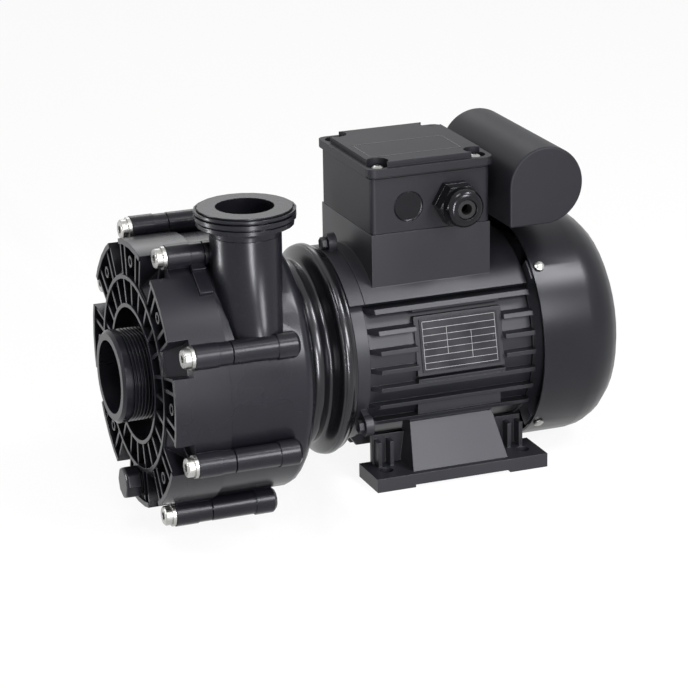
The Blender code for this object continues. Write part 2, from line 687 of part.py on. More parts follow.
def make_foot(name, side):
    """A channel-section foot: a pad with two holes, a sloped web and gussets at both ends."""
    inner_y = FOOT_OUTER_Y - FOOT_PAD_WIDTH
    foot = body(name, block((-FOOT_LENGTH / 2, side * inner_y, 0.0),
                            (FOOT_LENGTH / 2, side * FOOT_OUTER_Y, FOOT_PAD_THICKNESS)),
                "matt_black_paint")
    web_foot_y = FOOT_OUTER_Y - FOOT_WEB_SETBACK
    seat_inner = FOOT_WEB_TOP_Y - FOOT_SEAT_WIDTH
    web = prism([(side * web_foot_y, FOOT_PAD_THICKNESS / 2), (side * web_foot_y, FOOT_PAD_THICKNESS),
                 (side * FOOT_WEB_TOP_Y, FOOT_WEB_HEIGHT), (side * seat_inner, FOOT_WEB_HEIGHT),
                 (side * (inner_y + FOOT_WALL_SETBACK * 2), FOOT_PAD_THICKNESS / 2)],
                "X", -FOOT_WEB_BOTTOM_LENGTH / 2, FOOT_WEB_BOTTOM_LENGTH / 2)
    slope = (FOOT_WEB_BOTTOM_LENGTH - FOOT_WEB_TOP_LENGTH) / 2
    for vert in web.verts:
        if vert.co.z > FOOT_PAD_THICKNESS * 2:
            vert.co.x -= slope if vert.co.x > 0 else -slope
    add(foot, web)
    gusset_places = [end * (FOOT_WEB_BOTTOM_LENGTH / 2 + number * FOOT_RIB_SPACING)
                     for end in (-1, 1) for number in (1, 2)]
    wall_reach = FOOT_WEB_BOTTOM_LENGTH / 2 + FOOT_RIB_SPACING * 2 + FOOT_RIB_THICKNESS
    add(foot, block((-wall_reach, side * (inner_y + FOOT_WALL_SETBACK), FOOT_PAD_THICKNESS / 3),
                    (wall_reach, side * (inner_y + FOOT_INNER_WALL), FOOT_END_WALL_HEIGHT)))
    add(foot, gathered([block(
        (place - FOOT_RIB_THICKNESS / 2, side * (inner_y + FOOT_INNER_WALL / 2),
         FOOT_PAD_THICKNESS / 4),
        (place + FOOT_RIB_THICKNESS / 2, side * (inner_y + FOOT_INNER_WALL + FOOT_RIB_REACH),
         FOOT_END_WALL_HEIGHT - FOOT_RIB_DROP)) for place in gusset_places]))
    hollow_half = FOOT_WEB_TOP_LENGTH / 2 - FOOT_WEB_WALL
    hollow_top = FOOT_WEB_HEIGHT - FOOT_TOP_WALL
    cut(foot, prism([(side * (web_foot_y - FOOT_WEB_WALL), -OVERRUN),
                     (side * (web_foot_y - FOOT_WEB_WALL), FOOT_PAD_THICKNESS),
                     (side * (FOOT_WEB_TOP_Y - FOOT_WEB_WALL / 2), hollow_top),
                     (side * (seat_inner + FOOT_WEB_WALL / 2), hollow_top),
                     (side * (inner_y + FOOT_WEB_WALL), FOOT_PAD_THICKNESS),
                     (side * (inner_y + FOOT_WEB_WALL), -OVERRUN)],
                    "X", -hollow_half, hollow_half))
    cut(foot, block((-FOOT_WEB_BOTTOM_LENGTH / 2, side * (inner_y - OVERRUN), -OVERRUN),
                    (FOOT_WEB_BOTTOM_LENGTH / 2, side * (FOOT_OUTER_Y + OVERRUN), FOOT_RELIEF)))
    cradle = rod(FIN_ROOT_RADIUS + CLEARANCE, -FOOT_LENGTH / 2, FOOT_LENGTH / 2, LARGE_STEPS)
    cut(foot, shifted(cradle, 0.0, 0.0, SHAFT_HEIGHT))
    for place in (-FOOT_HOLE_SPACING_X / 2, FOOT_HOLE_SPACING_X / 2):
        hole = upright(rod(FOOT_HOLE_RADIUS, -OVERRUN, FOOT_PAD_THICKNESS + OVERRUN))
        cut(foot, shifted(hole, place, side * FOOT_HOLE_SPACING_Y / 2, 0.0))
    for place in (-FOOT_SCREW_X, FOOT_SCREW_X):
        hole = upright(rod(FOOT_SCREW_RADIUS + CLEARANCE, hollow_top - OVERRUN,
                           FOOT_WEB_HEIGHT + OVERRUN, FINE_STEPS))
        cut(foot, shifted(hole, place, side * FOOT_SCREW_Y, 0.0))


def make_foot_screw(name, side, place):
    """A cap screw that holds the foot up against the frame from inside its web."""
    seat = FOOT_WEB_HEIGHT - FOOT_TOP_WALL - CLEARANCE
    screw = lathe([(seat - FOOT_SCREW_HEAD, 0.0), (seat - FOOT_SCREW_HEAD, FOOT_SCREW_HEAD_RADIUS),
                   (seat, FOOT_SCREW_HEAD_RADIUS), (seat, FOOT_SCREW_RADIUS),
                   (FOOT_WEB_HEIGHT + FOOT_SCREW_GRIP - CLEARANCE * 2, FOOT_SCREW_RADIUS),
                   (FOOT_WEB_HEIGHT + FOOT_SCREW_GRIP - CLEARANCE * 2, 0.0)], FINE_STEPS)
    body(name, upright(screw), "zinc_steel", (place, side * FOOT_SCREW_Y, 0.0))


def tie_bolt_holes(start, end):
    return around(lambda: rod(TIE_BOLT_RADIUS + CLEARANCE, start, end, FINE_STEPS),
                  TIE_BOLT_COUNT, TIE_BOLT_ANGLE, TIE_BOLT_CIRCLE)


def tie_bolt_counterbores(start, end):
    return around(lambda: rod(TIE_BOLT_HEAD_RADIUS + CLEARANCE, start, end, FINE_STEPS),
                  TIE_BOLT_COUNT, TIE_BOLT_ANGLE, TIE_BOLT_CIRCLE)


def bearing_seat(shield, outside, way):
    """Give a shield its hub, open on the motor side, and the hole for the shaft."""
    pocket = BEARING_RADIUS + CLEARANCE
    floor = outside - way * HUB_SHOULDER
    mouth = floor - way * BEARING_WIDTH
    over = way * OVERRUN
    add(shield, rod(pocket + BEARING_HUB_WALL, outside - way * SHIELD_WEB / 2, mouth, MEDIUM_STEPS))
    cut(shield, rod(pocket, floor, mouth - over, MEDIUM_STEPS))
    cut(shield, rod(SHAFT_RADIUS + HUB_SHOULDER, outside + over, mouth - over, MEDIUM_STEPS))


def make_front_shield():
    """Bearing shield at the pump end; the frame's smooth saddle carries on over it."""
    face = FRAME_FRONT_X - CLEARANCE
    saddle_angle = degrees(asin(SADDLE_EDGE / SADDLE_RADIUS))
    round_angle = degrees(asin(SADDLE_EDGE / SHIELD_RADIUS))
    side = arc((0.0, 0.0), SADDLE_RADIUS, 90.0, saddle_angle, 9)
    side += arc((0.0, 0.0), SHIELD_RADIUS, round_angle, -90.0, 18)
    whole = side + [(-across, level) for across, level in reversed(side[1:-1])]
    shield = on_axis("front_end_shield", prism(whole, "X", SHIELD_FRONT_X, face),
                     "matt_black_paint")
    lug_front = SHIELD_FRONT_X + SHIELD_LUG_SETBACK
    lug_rear = face - SHIELD_LUG_INSET
    for number in range(SHIELD_LUG_COUNT):
        angle = SHIELD_LUG_ANGLE + number * 360.0 / SHIELD_LUG_COUNT
        add(shield, shaft_angle(rod(SHIELD_LUG_RADIUS, lug_front, lug_rear), angle,
                                SHIELD_LUG_CIRCLE))
        root_half = SHIELD_LUG_RADIUS * 3 / 4
        root = block((lug_front + SHIELD_LUG_INSET, -root_half / 2, -root_half),
                     (lug_rear - SHIELD_LUG_INSET, SHIELD_LUG_RADIUS * 2, root_half))
        add(shield, shaft_angle(root, angle, SHIELD_LUG_CIRCLE))
    cut(shield, rod(FRAME_BORE_RADIUS, SHIELD_FRONT_X + SHIELD_WEB, face + OVERRUN, LARGE_STEPS))
    bearing_seat(shield, SHIELD_FRONT_X, -1)
    cut(shield, tie_bolt_holes(SHIELD_FRONT_X - OVERRUN, face + OVERRUN))
    cut(shield, tie_bolt_counterbores(SHIELD_FRONT_X - OVERRUN, SHIELD_FRONT_X + TIE_BOLT_HEAD))


def make_rear_shield():
    """Bearing shield at the fan end; its four arms carry the cowl."""
    outside = REAR_SHIELD_X + REAR_SHIELD_DEPTH
    shield = on_axis("rear_end_shield", rod(SHIELD_RADIUS, REAR_SHIELD_X, outside, LARGE_STEPS),
                     "matt_black_paint")
    lug_top = COWL_RADIUS - COWL_WALL - CLEARANCE
    for number in range(COWL_SCREW_COUNT):
        angle = COWL_SCREW_ANGLE + number * 360.0 / COWL_SCREW_COUNT
        lug = block((REAR_SHIELD_X + SHIELD_LUG_INSET, -COWL_RADIUS, -SHIELD_LUG_RADIUS),
                    (outside - SHIELD_LUG_INSET, -SHIELD_RADIUS + SHIELD_LUG_RADIUS / 2,
                     SHIELD_LUG_RADIUS))
        add(shield, turned(lug, -angle, "X"))
    cut(shield, tube(COWL_RADIUS + OVERRUN, lug_top, REAR_SHIELD_X - OVERRUN, outside + OVERRUN,
                     LARGE_STEPS))
    cut(shield, around(lambda: cowl_screw_hole(lug_top), COWL_SCREW_COUNT, COWL_SCREW_ANGLE))
    cut(shield, rod(FRAME_BORE_RADIUS, REAR_SHIELD_X - OVERRUN, outside - SHIELD_WEB, LARGE_STEPS))
    bearing_seat(shield, outside, 1)
    cut(shield, tie_bolt_holes(REAR_SHIELD_X - OVERRUN, outside + OVERRUN))


def cowl_screw_hole(lug_top):
    hole = rod(COWL_SCREW_RADIUS + CLEARANCE, lug_top - COWL_SCREW_GRIP, COWL_RADIUS + OVERRUN,
               FINE_STEPS)
    return shifted(facing_near(hole), COWL_SCREW_X, 0.0, 0.0)


def make_tie_bolt(name, angle):
    """A long bolt that clamps both end shields on the frame; its head sinks into the front shield."""
    seat = SHIELD_FRONT_X + TIE_BOLT_HEAD - CLEARANCE
    bolt = lathe([(SHIELD_FRONT_X + CLEARANCE, 0.0), (SHIELD_FRONT_X + CLEARANCE, TIE_BOLT_HEAD_RADIUS),
                  (seat, TIE_BOLT_HEAD_RADIUS), (seat, TIE_BOLT_RADIUS),
                  (REAR_SHIELD_X + REAR_SHIELD_DEPTH, TIE_BOLT_RADIUS),
                  (REAR_SHIELD_X + REAR_SHIELD_DEPTH, 0.0)], FINE_STEPS)
    on_axis(name, shaft_angle(bolt, angle, TIE_BOLT_CIRCLE), "zinc_steel")


def make_bearing(name, start):
    on_axis(name, lathe([
        (start, SHAFT_RADIUS + CLEARANCE), (start, BEARING_RADIUS),
        (start + BEARING_WIDTH, BEARING_RADIUS), (start + BEARING_WIDTH, SHAFT_RADIUS + CLEARANCE),
    ], MEDIUM_STEPS), "bright_steel")


def make_stator():
    middle = FRAME_FRONT_X + FRAME_LENGTH / 2
    front = middle - STATOR_LENGTH / 2
    rear = middle + STATOR_LENGTH / 2
    on_axis("stator_core", tube(FRAME_BORE_RADIUS - CLEARANCE, STATOR_BORE_RADIUS, front, rear),
            "core_steel")
    for name, start, end in (("front_winding", front - CLEARANCE - WINDING_LENGTH, front - CLEARANCE),
                             ("rear_winding", rear + CLEARANCE, rear + CLEARANCE + WINDING_LENGTH)):
        coil = on_axis(name, tube(WINDING_OUTER_RADIUS, WINDING_INNER_RADIUS, start, end),
                       "copper_wire")
        soften(coil, WINDING_ROUND, 1)
    on_axis("rotor_core", tube(STATOR_BORE_RADIUS - AIR_GAP, SHAFT_CORE_RADIUS + CLEARANCE,
                               front - ROTOR_OVERHANG, rear + ROTOR_OVERHANG), "core_steel")


def make_shaft():
    front_shoulder = FRONT_BEARING_X + BEARING_WIDTH + CLEARANCE
    rear_shoulder = REAR_BEARING_X - CLEARANCE
    wet_step = SHIELD_FRONT_X - SLINGER_WIDTH - SHAFT_STEP_LEAD
    hub_front = IMPELLER_HUB_FRONT_X
    stud_end = hub_front - SHAFT_STUD_LENGTH
    rear_end = FAN_REAR_X
    on_axis("shaft", lathe([
        (stud_end, 0.0), (stud_end, SHAFT_STUD_RADIUS),
        (hub_front + SHAFT_STUD_INSET, SHAFT_STUD_RADIUS), (hub_front + SHAFT_STUD_INSET, SHAFT_WET_RADIUS),
        (wet_step, SHAFT_WET_RADIUS), (wet_step, SHAFT_RADIUS),
        (front_shoulder, SHAFT_RADIUS), (front_shoulder, SHAFT_CORE_RADIUS),
        (rear_shoulder, SHAFT_CORE_RADIUS), (rear_shoulder, SHAFT_RADIUS),
        (rear_end, SHAFT_RADIUS), (rear_end, 0.0)], SMALL_STEPS), "bright_steel")


def cowl_outline(radius, rear, rounding):
    """Outside or inside of the cowl from its open rim to the middle of its rear face."""
    corner = arc((rear - rounding, radius - rounding), rounding, 90.0, 0.0, 5)
    return [(COWL_FRONT, radius)] + corner + [(rear, 0.0)]


def make_cowl():
    outside = cowl_outline(COWL_RADIUS, COWL_REAR, COWL_REAR_ROUND)
    inside = cowl_outline(COWL_RADIUS - COWL_WALL, COWL_REAR - COWL_WALL,
                          COWL_REAR_ROUND - COWL_WALL)
    cowl = on_axis("fan_cowl", lathe(outside[::-1] + inside), "cowl_metal")
    slot = lambda: block((COWL_REAR - COWL_WALL - OVERRUN, -GRILLE_OUTER_RADIUS, -GRILLE_SLOT_WIDTH / 2),
                         (COWL_REAR + OVERRUN, -GRILLE_INNER_RADIUS, GRILLE_SLOT_WIDTH / 2))
    cut(cowl, around(slot, GRILLE_SLOTS))
    cut(cowl, around(lambda: cowl_screw_hole(COWL_RADIUS), COWL_SCREW_COUNT, COWL_SCREW_ANGLE))


def make_cowl_screw(name, angle):
    seat = COWL_RADIUS + CLEARANCE
    tip = COWL_RADIUS - COWL_WALL - COWL_SCREW_GRIP + CLEARANCE
    screw = lathe([(tip, 0.0), (tip, COWL_SCREW_RADIUS), (seat, COWL_SCREW_RADIUS),
                   (seat, COWL_SCREW_HEAD_RADIUS),
                   (seat + COWL_SCREW_HEAD / 2, COWL_SCREW_HEAD_RADIUS),
                   (seat + COWL_SCREW_HEAD, COWL_SCREW_HEAD_RADIUS / 2),
                   (seat + COWL_SCREW_HEAD, 0.0)], FINE_STEPS)
    screw = shifted(facing_near(screw), COWL_SCREW_X, 0.0, 0.0)
    on_axis(name, turned(screw, -angle, "X"), "zinc_steel")


def make_fan():
    bore = SHAFT_RADIUS + CLEARANCE
    fan = on_axis("cooling_fan", lathe([
        (FAN_FRONT, bore), (FAN_FRONT, FAN_HUB_RADIUS),
        (FAN_REAR_X - FAN_DISC, FAN_HUB_RADIUS), (FAN_REAR_X - FAN_DISC, FAN_RADIUS),
        (FAN_REAR_X, FAN_RADIUS), (FAN_REAR_X, bore)], MEDIUM_STEPS), "moulded_plastic")
    blade = lambda: block((FAN_FRONT + FAN_DISC, -FAN_RADIUS, -FAN_BLADE_THICKNESS / 2),
                          (FAN_REAR_X - FAN_DISC / 2, -FAN_HUB_RADIUS + FAN_BLADE_THICKNESS,
                           FAN_BLADE_THICKNESS / 2))
    add(fan, around(blade, FAN_BLADES))


# Terminal box and what it carries
def rounded_rectangle(middle_x, length, width, corner, count=3):
    """Outline in X and Y, centred on middle_x and the shaft line."""
    points = []
    for turn, (across, along) in enumerate(((1, 1), (-1, 1), (-1, -1), (1, -1))):
        centre = (middle_x + across * (length / 2 - corner), along * (width / 2 - corner))
        points += arc(centre, corner, 90.0 * turn, 90.0 * (turn + 1), count)
    return points


def lid_screw_places():
    reach_x = BOX_LENGTH / 2 - LID_SCREW_INSET
    reach_y = BOX_WIDTH / 2 - LID_SCREW_INSET
    return [(BOX_MIDDLE_X + across * reach_x, along * reach_y)
            for across, along in ((-1, -1), (1, -1), (1, 1), (-1, 1))]


def make_terminal_box():
    box = body("terminal_box", prism(rounded_rectangle(BOX_MIDDLE_X, BOX_LENGTH, BOX_WIDTH, BOX_CORNER),
                                     "Z", BOX_FLOOR_Z, BOX_TOP), "moulded_plastic")
    cut(box, prism(rounded_rectangle(BOX_MIDDLE_X, BOX_LENGTH - BOX_WALL * 2, BOX_WIDTH - BOX_WALL * 2,
                                     BOX_CORNER / 2), "Z", BOX_FLOOR_Z + BOX_WALL, BOX_TOP + OVERRUN))
    for across, along in lid_screw_places():
        post = upright(rod(SCREW_POST_RADIUS, BOX_FLOOR_Z + BOX_WALL / 2, BOX_TOP, FINE_STEPS))
        add(box, shifted(post, across, along, 0.0))
    for across, along in lid_screw_places():
        hole = upright(rod(LID_SCREW_RADIUS + CLEARANCE, BOX_TOP - LID_SCREW_GRIP,
                           BOX_TOP + OVERRUN, FINE_STEPS))
        cut(box, shifted(hole, across, along, 0.0))
    wire_hole = upright(rod(WIRE_HOLE_RADIUS, BOX_FLOOR_Z - OVERRUN, BOX_FLOOR_Z + BOX_WALL + OVERRUN))
    cut(box, shifted(wire_hole, BOX_MIDDLE_X, -BLOCK_WIDTH, 0.0))
    gland_hole = facing_near(rod(GLAND_THREAD_RADIUS + CLEARANCE, BOX_WIDTH / 2 - BOX_WALL - OVERRUN,
                                 BOX_WIDTH / 2 + OVERRUN, SMALL_STEPS))
    cut(box, shifted(gland_hole, ENTRY_MIDDLE_X + ENTRY_SPACING / 2, 0.0, ENTRY_HEIGHT))
    blank = facing_near(rod(ENTRY_RADIUS, BOX_WIDTH / 2 - ENTRY_DEPTH, BOX_WIDTH / 2 + OVERRUN,
                            MEDIUM_STEPS))
    cut(box, shifted(blank, ENTRY_MIDDLE_X - ENTRY_SPACING / 2, 0.0, ENTRY_HEIGHT))
    duct = rod(CAPACITOR_DUCT_RADIUS, BOX_REAR_X - BOX_WALL - OVERRUN, BOX_REAR_X + OVERRUN)
    cut(box, shifted(duct, 0.0, 0.0, CAPACITOR_DUCT_Z))


def make_lid():
    """A lid with a raised panel, and a round pocket for the screw at each corner."""
    length = BOX_LENGTH + LID_OVERHANG * 2
    width = BOX_WIDTH + LID_OVERHANG * 2
    step_z = LID_Z + LID_FLANGE
    lid = body("terminal_box_lid", prism(rounded_rectangle(BOX_MIDDLE_X, length, width,
                                                           BOX_CORNER + LID_OVERHANG),
                                         "Z", LID_Z, step_z), "moulded_plastic",
               (0.0, 0.0, 0.0))
    panel_length = length - LID_STEP * 2
    panel_width = width - LID_STEP * 2
    add(lid, prism(rounded_rectangle(BOX_MIDDLE_X, panel_length, panel_width, BOX_CORNER),
                   "Z", step_z - LID_WALL, step_z + LID_CROWN))
    for across, along in lid_screw_places():
        pocket = upright(rod(LID_POCKET_RADIUS, LID_Z + LID_POCKET_FLOOR,
                             step_z + LID_CROWN + OVERRUN, SMALL_STEPS))
        cut(lid, shifted(pocket, across, along, 0.0))
        hole = upright(rod(LID_SCREW_RADIUS + CLEARANCE, LID_Z - OVERRUN,
                           LID_Z + LID_POCKET_FLOOR + OVERRUN, FINE_STEPS))
        cut(lid, shifted(hole, across, along, 0.0))
    inner_length = BOX_LENGTH - (LID_SCREW_INSET + LID_POCKET_RADIUS + LID_WALL) * 2
    cut(lid, block((BOX_MIDDLE_X - inner_length / 2, -panel_width / 2 + LID_WALL * 2, LID_Z - OVERRUN),
                   (BOX_MIDDLE_X + inner_length / 2, panel_width / 2 - LID_WALL * 2,
                    step_z + LID_CROWN - LID_WALL)))


def make_gasket():
    gasket = body("lid_gasket", prism(rounded_rectangle(BOX_MIDDLE_X, BOX_LENGTH, BOX_WIDTH, BOX_CORNER),
                                      "Z", GASKET_Z, GASKET_Z + GASKET_THICKNESS), "rubber")
    cut(gasket, prism(rounded_rectangle(BOX_MIDDLE_X, BOX_LENGTH - GASKET_WIDTH * 2,
                                        BOX_WIDTH - GASKET_WIDTH * 2, BOX_CORNER / 2),
                      "Z", GASKET_Z - OVERRUN, GASKET_Z + GASKET_THICKNESS + OVERRUN))


def make_lid_screw(name, across, along):
    seat = LID_Z + LID_POCKET_FLOOR + CLEARANCE
    tip = BOX_TOP - LID_SCREW_GRIP + CLEARANCE * 2
    screw = lathe([(tip, 0.0), (tip, LID_SCREW_RADIUS), (seat, LID_SCREW_RADIUS),
                   (seat, LID_SCREW_HEAD_RADIUS),
                   (seat + LID_SCREW_HEAD / 2, LID_SCREW_HEAD_RADIUS),
                   (seat + LID_SCREW_HEAD, LID_SCREW_HEAD_RADIUS / 2),
                   (seat + LID_SCREW_HEAD, 0.0)], FINE_STEPS)
    body(name, upright(screw), "zinc_steel", (across, along, 0.0))


def make_terminal_block():
    floor = BOX_FLOOR_Z + BOX_WALL + CLEARANCE
    terminals = body("terminal_block", block(
        (BOX_MIDDLE_X - BLOCK_LENGTH / 2, -BLOCK_WIDTH / 2 + BLOCK_SETBACK, floor),
        (BOX_MIDDLE_X + BLOCK_LENGTH / 2, BLOCK_WIDTH / 2 + BLOCK_SETBACK, floor + BLOCK_HEIGHT)),
        "brown_insulator")
    studs = []
    for across in (-1, 0, 1):
        for along in (-1, 1):
            stud = upright(rod(BLOCK_STUD_RADIUS, floor + BLOCK_HEIGHT / 2,
                               floor + BLOCK_HEIGHT + BLOCK_STUD_HEIGHT, FINE_STEPS))
            studs.append(shifted(stud, BOX_MIDDLE_X + across * BLOCK_STUD_SPACING,
                                 along * BLOCK_STUD_SPACING / 2 + BLOCK_SETBACK, 0.0))
    add(terminals, gathered(studs))


def make_gland():
    """Cable gland on the near wall: a body screwed into the box, a rubber seal and a dome nut."""
    place = (ENTRY_MIDDLE_X + ENTRY_SPACING / 2, 0.0, ENTRY_HEIGHT)
    wall = BOX_WIDTH / 2 + CLEARANCE
    flange_end = wall + GLAND_FLANGE
    barrel_end = flange_end + GLAND_BARREL
    gland = body("gland_body", facing_near(prism(hexagon(GLAND_FLANGE_FLATS), "X", wall, flange_end)),
                 "moulded_plastic", place)
    add(gland, facing_near(rod(GLAND_THREAD_RADIUS, wall - BOX_WALL - CLEARANCE, wall + GLAND_FLANGE / 2,
                               SMALL_STEPS)))
    add(gland, facing_near(rod(GLAND_BARREL_RADIUS, flange_end - GLAND_FLANGE / 2, barrel_end,
                               MEDIUM_STEPS)))
    cut(gland, facing_near(rod(GLAND_BORE_RADIUS, wall - BOX_WALL - OVERRUN, barrel_end + OVERRUN,
                               SMALL_STEPS)))
    nut_start = flange_end + CLEARANCE
    hex_end = nut_start + GLAND_NUT_HEX
    tip = hex_end + GLAND_NUT_DOME
    nut = body("gland_nut", facing_near(prism(hexagon(GLAND_NUT_FLATS), "X", nut_start, hex_end)),
               "moulded_plastic", place)
    dome = [(nut_start + GLAND_NUT_HEX / 2, 0.0)]
    dome += [(nut_start + GLAND_NUT_HEX / 2, GLAND_NUT_FLATS / 2)]
    dome += arc((tip - GLAND_NUT_ROUND, GLAND_NUT_FLATS / 2 - GLAND_NUT_ROUND), GLAND_NUT_ROUND,
                90.0, 0.0, 4)
    dome += [(tip, 0.0)]
    add(nut, facing_near(lathe(dome, MEDIUM_STEPS)))
    cavity = lathe([(nut_start - OVERRUN, 0.0), (nut_start - OVERRUN, GLAND_BARREL_RADIUS + CLEARANCE),
                    (barrel_end + GLAND_TRAVEL, GLAND_BARREL_RADIUS + CLEARANCE),
                    (barrel_end + GLAND_TRAVEL, GLAND_SEAL_RADIUS + CLEARANCE),
                    (tip + OVERRUN, GLAND_SEAL_RADIUS + CLEARANCE), (tip + OVERRUN, 0.0)], MEDIUM_STEPS)
    cut(nut, facing_near(cavity))
    seal_start = barrel_end + CLEARANCE
    seal = lathe([(seal_start, GLAND_SEAL_HOLE_RADIUS), (seal_start, GLAND_SEAL_RADIUS),
                  (tip - GLAND_SEAL_INSET, GLAND_SEAL_RADIUS),
                  (tip - GLAND_SEAL_INSET, GLAND_SEAL_HOLE_RADIUS)], SMALL_STEPS)
    body("gland_seal", facing_near(seal), "rubber", place)


def d_outline(radius):
    """A round outline in X and Z whose lower front quarter is squared off; points relative to the axis."""
    side = arc((0.0, 0.0), radius, 180.0, -90.0, 24)
    return side + [(-radius, -radius)]


def make_capacitor():
    """The cover lies across the shaft behind the box; a neck joins its wire duct to the box wall."""
    place = (CAPACITOR_COVER_X, 0.0, CAPACITOR_COVER_Z)
    cover = body("capacitor_cover", prism(d_outline(CAPACITOR_COVER_RADIUS), "Y",
                                          -CAPACITOR_COVER_NEAR, CAPACITOR_COVER_FAR),
                 "moulded_plastic", place)
    neck_front = BOX_REAR_X + CLEARANCE - CAPACITOR_COVER_X
    low = CAPACITOR_DUCT_Z - CAPACITOR_COVER_Z
    add(cover, block((neck_front, -CAPACITOR_NECK_WIDTH / 2, low - CAPACITOR_NECK_HEIGHT / 2),
                     (-CAPACITOR_COVER_RADIUS + CAPACITOR_COVER_WALL / 2, CAPACITOR_NECK_WIDTH / 2,
                      low + CAPACITOR_NECK_HEIGHT / 2)))
    inner = CAPACITOR_COVER_RADIUS - CAPACITOR_COVER_WALL
    cut(cover, prism(d_outline(inner), "Y", -CAPACITOR_COVER_NEAR + CAPACITOR_COVER_WALL,
                     CAPACITOR_COVER_FAR - CAPACITOR_COVER_WALL))
    cut(cover, shifted(rod(CAPACITOR_DUCT_RADIUS, neck_front - OVERRUN, -inner + OVERRUN), 0.0, 0.0, low))
    middle = (CAPACITOR_COVER_FAR - CAPACITOR_COVER_NEAR) / 2
    can = facing_near(rod(CAPACITOR_RADIUS, -middle - CAPACITOR_LENGTH / 2, -middle + CAPACITOR_LENGTH / 2,
                          MEDIUM_STEPS))
    drop = CAPACITOR_RADIUS - inner + CLEARANCE
    body("run_capacitor", can, "white_plastic",
         (CAPACITOR_COVER_X, 0.0, CAPACITOR_COVER_Z + drop))


def make_rating_plate():
    """Bare metal plate on its flat pad on the near side of the frame."""
    centre = (PLATE_PAD_REAR - PLATE_PAD_FRONT) / 2
    face = -PLATE_PAD_DISTANCE - CLEARANCE
    half_length = RATING_PLATE_LENGTH / 2
    half_height = RATING_PLATE_HEIGHT / 2
    plate = block((centre - half_length, face - RATING_PLATE_THICKNESS, -half_height),
                  (centre + half_length, face, half_height))
    on_axis("rating_plate", turned(plate, -PLATE_PAD_ANGLE, "X"), "plate_metal")


# Wet end
def bolt_angles():
    return [BOLT_FIRST_ANGLE + number * 360.0 / BOLT_COUNT for number in range(BOLT_COUNT)]


def make_adapter():
    """Stepped bell between motor and pump, with a waist between its round shoulders, open inside."""
    rear = SHIELD_FRONT_X - CLEARANCE
    front = ADAPTER_FRONT_X
    step_end = front + ADAPTER_STEP_LENGTH
    nose = [(front + ADAPTER_STEP_ROUND * (1.0 - cos(radians(angle))),
             ADAPTER_NOSE_RADIUS + (ADAPTER_STEP_RADIUS - ADAPTER_NOSE_RADIUS) * sin(radians(angle)))
            for angle in range(0, 91, 30)]
    nose.append(((nose[-1][0] + step_end) / 2, (ADAPTER_STEP_RADIUS * 2 + ADAPTER_WAIST_RADIUS) / 3))
    crown = [(step_end + ADAPTER_STEP_ROUND * (1.0 - cos(radians(angle))),
              ADAPTER_WAIST_RADIUS + (ADAPTER_RADIUS - ADAPTER_WAIST_RADIUS) * sin(radians(angle)))
             for angle in range(0, 91, 30)]
    outline = [(front, ADAPTER_BORE_RADIUS)] + nose + crown + [
        (rear, ADAPTER_RADIUS), (rear, ADAPTER_HOLLOW_RADIUS),
        (front + ADAPTER_WALL, ADAPTER_HOLLOW_RADIUS), (front + ADAPTER_WALL, ADAPTER_BORE_RADIUS)]
    on_axis("motor_adapter", lathe(outline), "gloss_black_paint")


def make_slinger():
    """Rubber ring that throws stray water off the shaft before it reaches the bearing."""
    rear = SHIELD_FRONT_X - CLEARANCE
    on_axis("water_slinger", lathe([
        (rear - SLINGER_WIDTH, SHAFT_RADIUS + CLEARANCE), (rear - SLINGER_WIDTH, SLINGER_RADIUS / 4 * 3),
        (rear, SLINGER_RADIUS), (rear, SHAFT_RADIUS + CLEARANCE)], SMALL_STEPS), "rubber")


def casing_boss(angle):
    """One bolt boss; the boss beside the outlet pipe is shorter and ends in the pipe's wall."""
    front = CASING_FRONT_X + COVER_BOSS_RELIEF
    across = abs(OUTLET_Y - BOLT_CIRCLE * cos(radians(angle)))
    if across < OUTLET_PIPE_RADIUS and sin(radians(angle)) > 0.0:
        outline = [(front, 0.0), (front, CASING_BOSS_RADIUS), (OUTLET_X, CASING_BOSS_RADIUS),
                   (OUTLET_X, 0.0)]
    else:
        end = CASING_FRONT_X + CASING_BOSS_LENGTH
        step = end - CASING_BOSS_END_LENGTH
        chamfer = CASING_BOSS_END_RADIUS / 4
        outline = [(front, 0.0), (front, CASING_BOSS_RADIUS), (step, CASING_BOSS_RADIUS),
                   (step, CASING_BOSS_END_RADIUS), (end - chamfer, CASING_BOSS_END_RADIUS),
                   (end, CASING_BOSS_END_RADIUS - chamfer), (end, 0.0)]
    return shaft_angle(lathe(outline, SMALL_STEPS), angle, BOLT_CIRCLE)


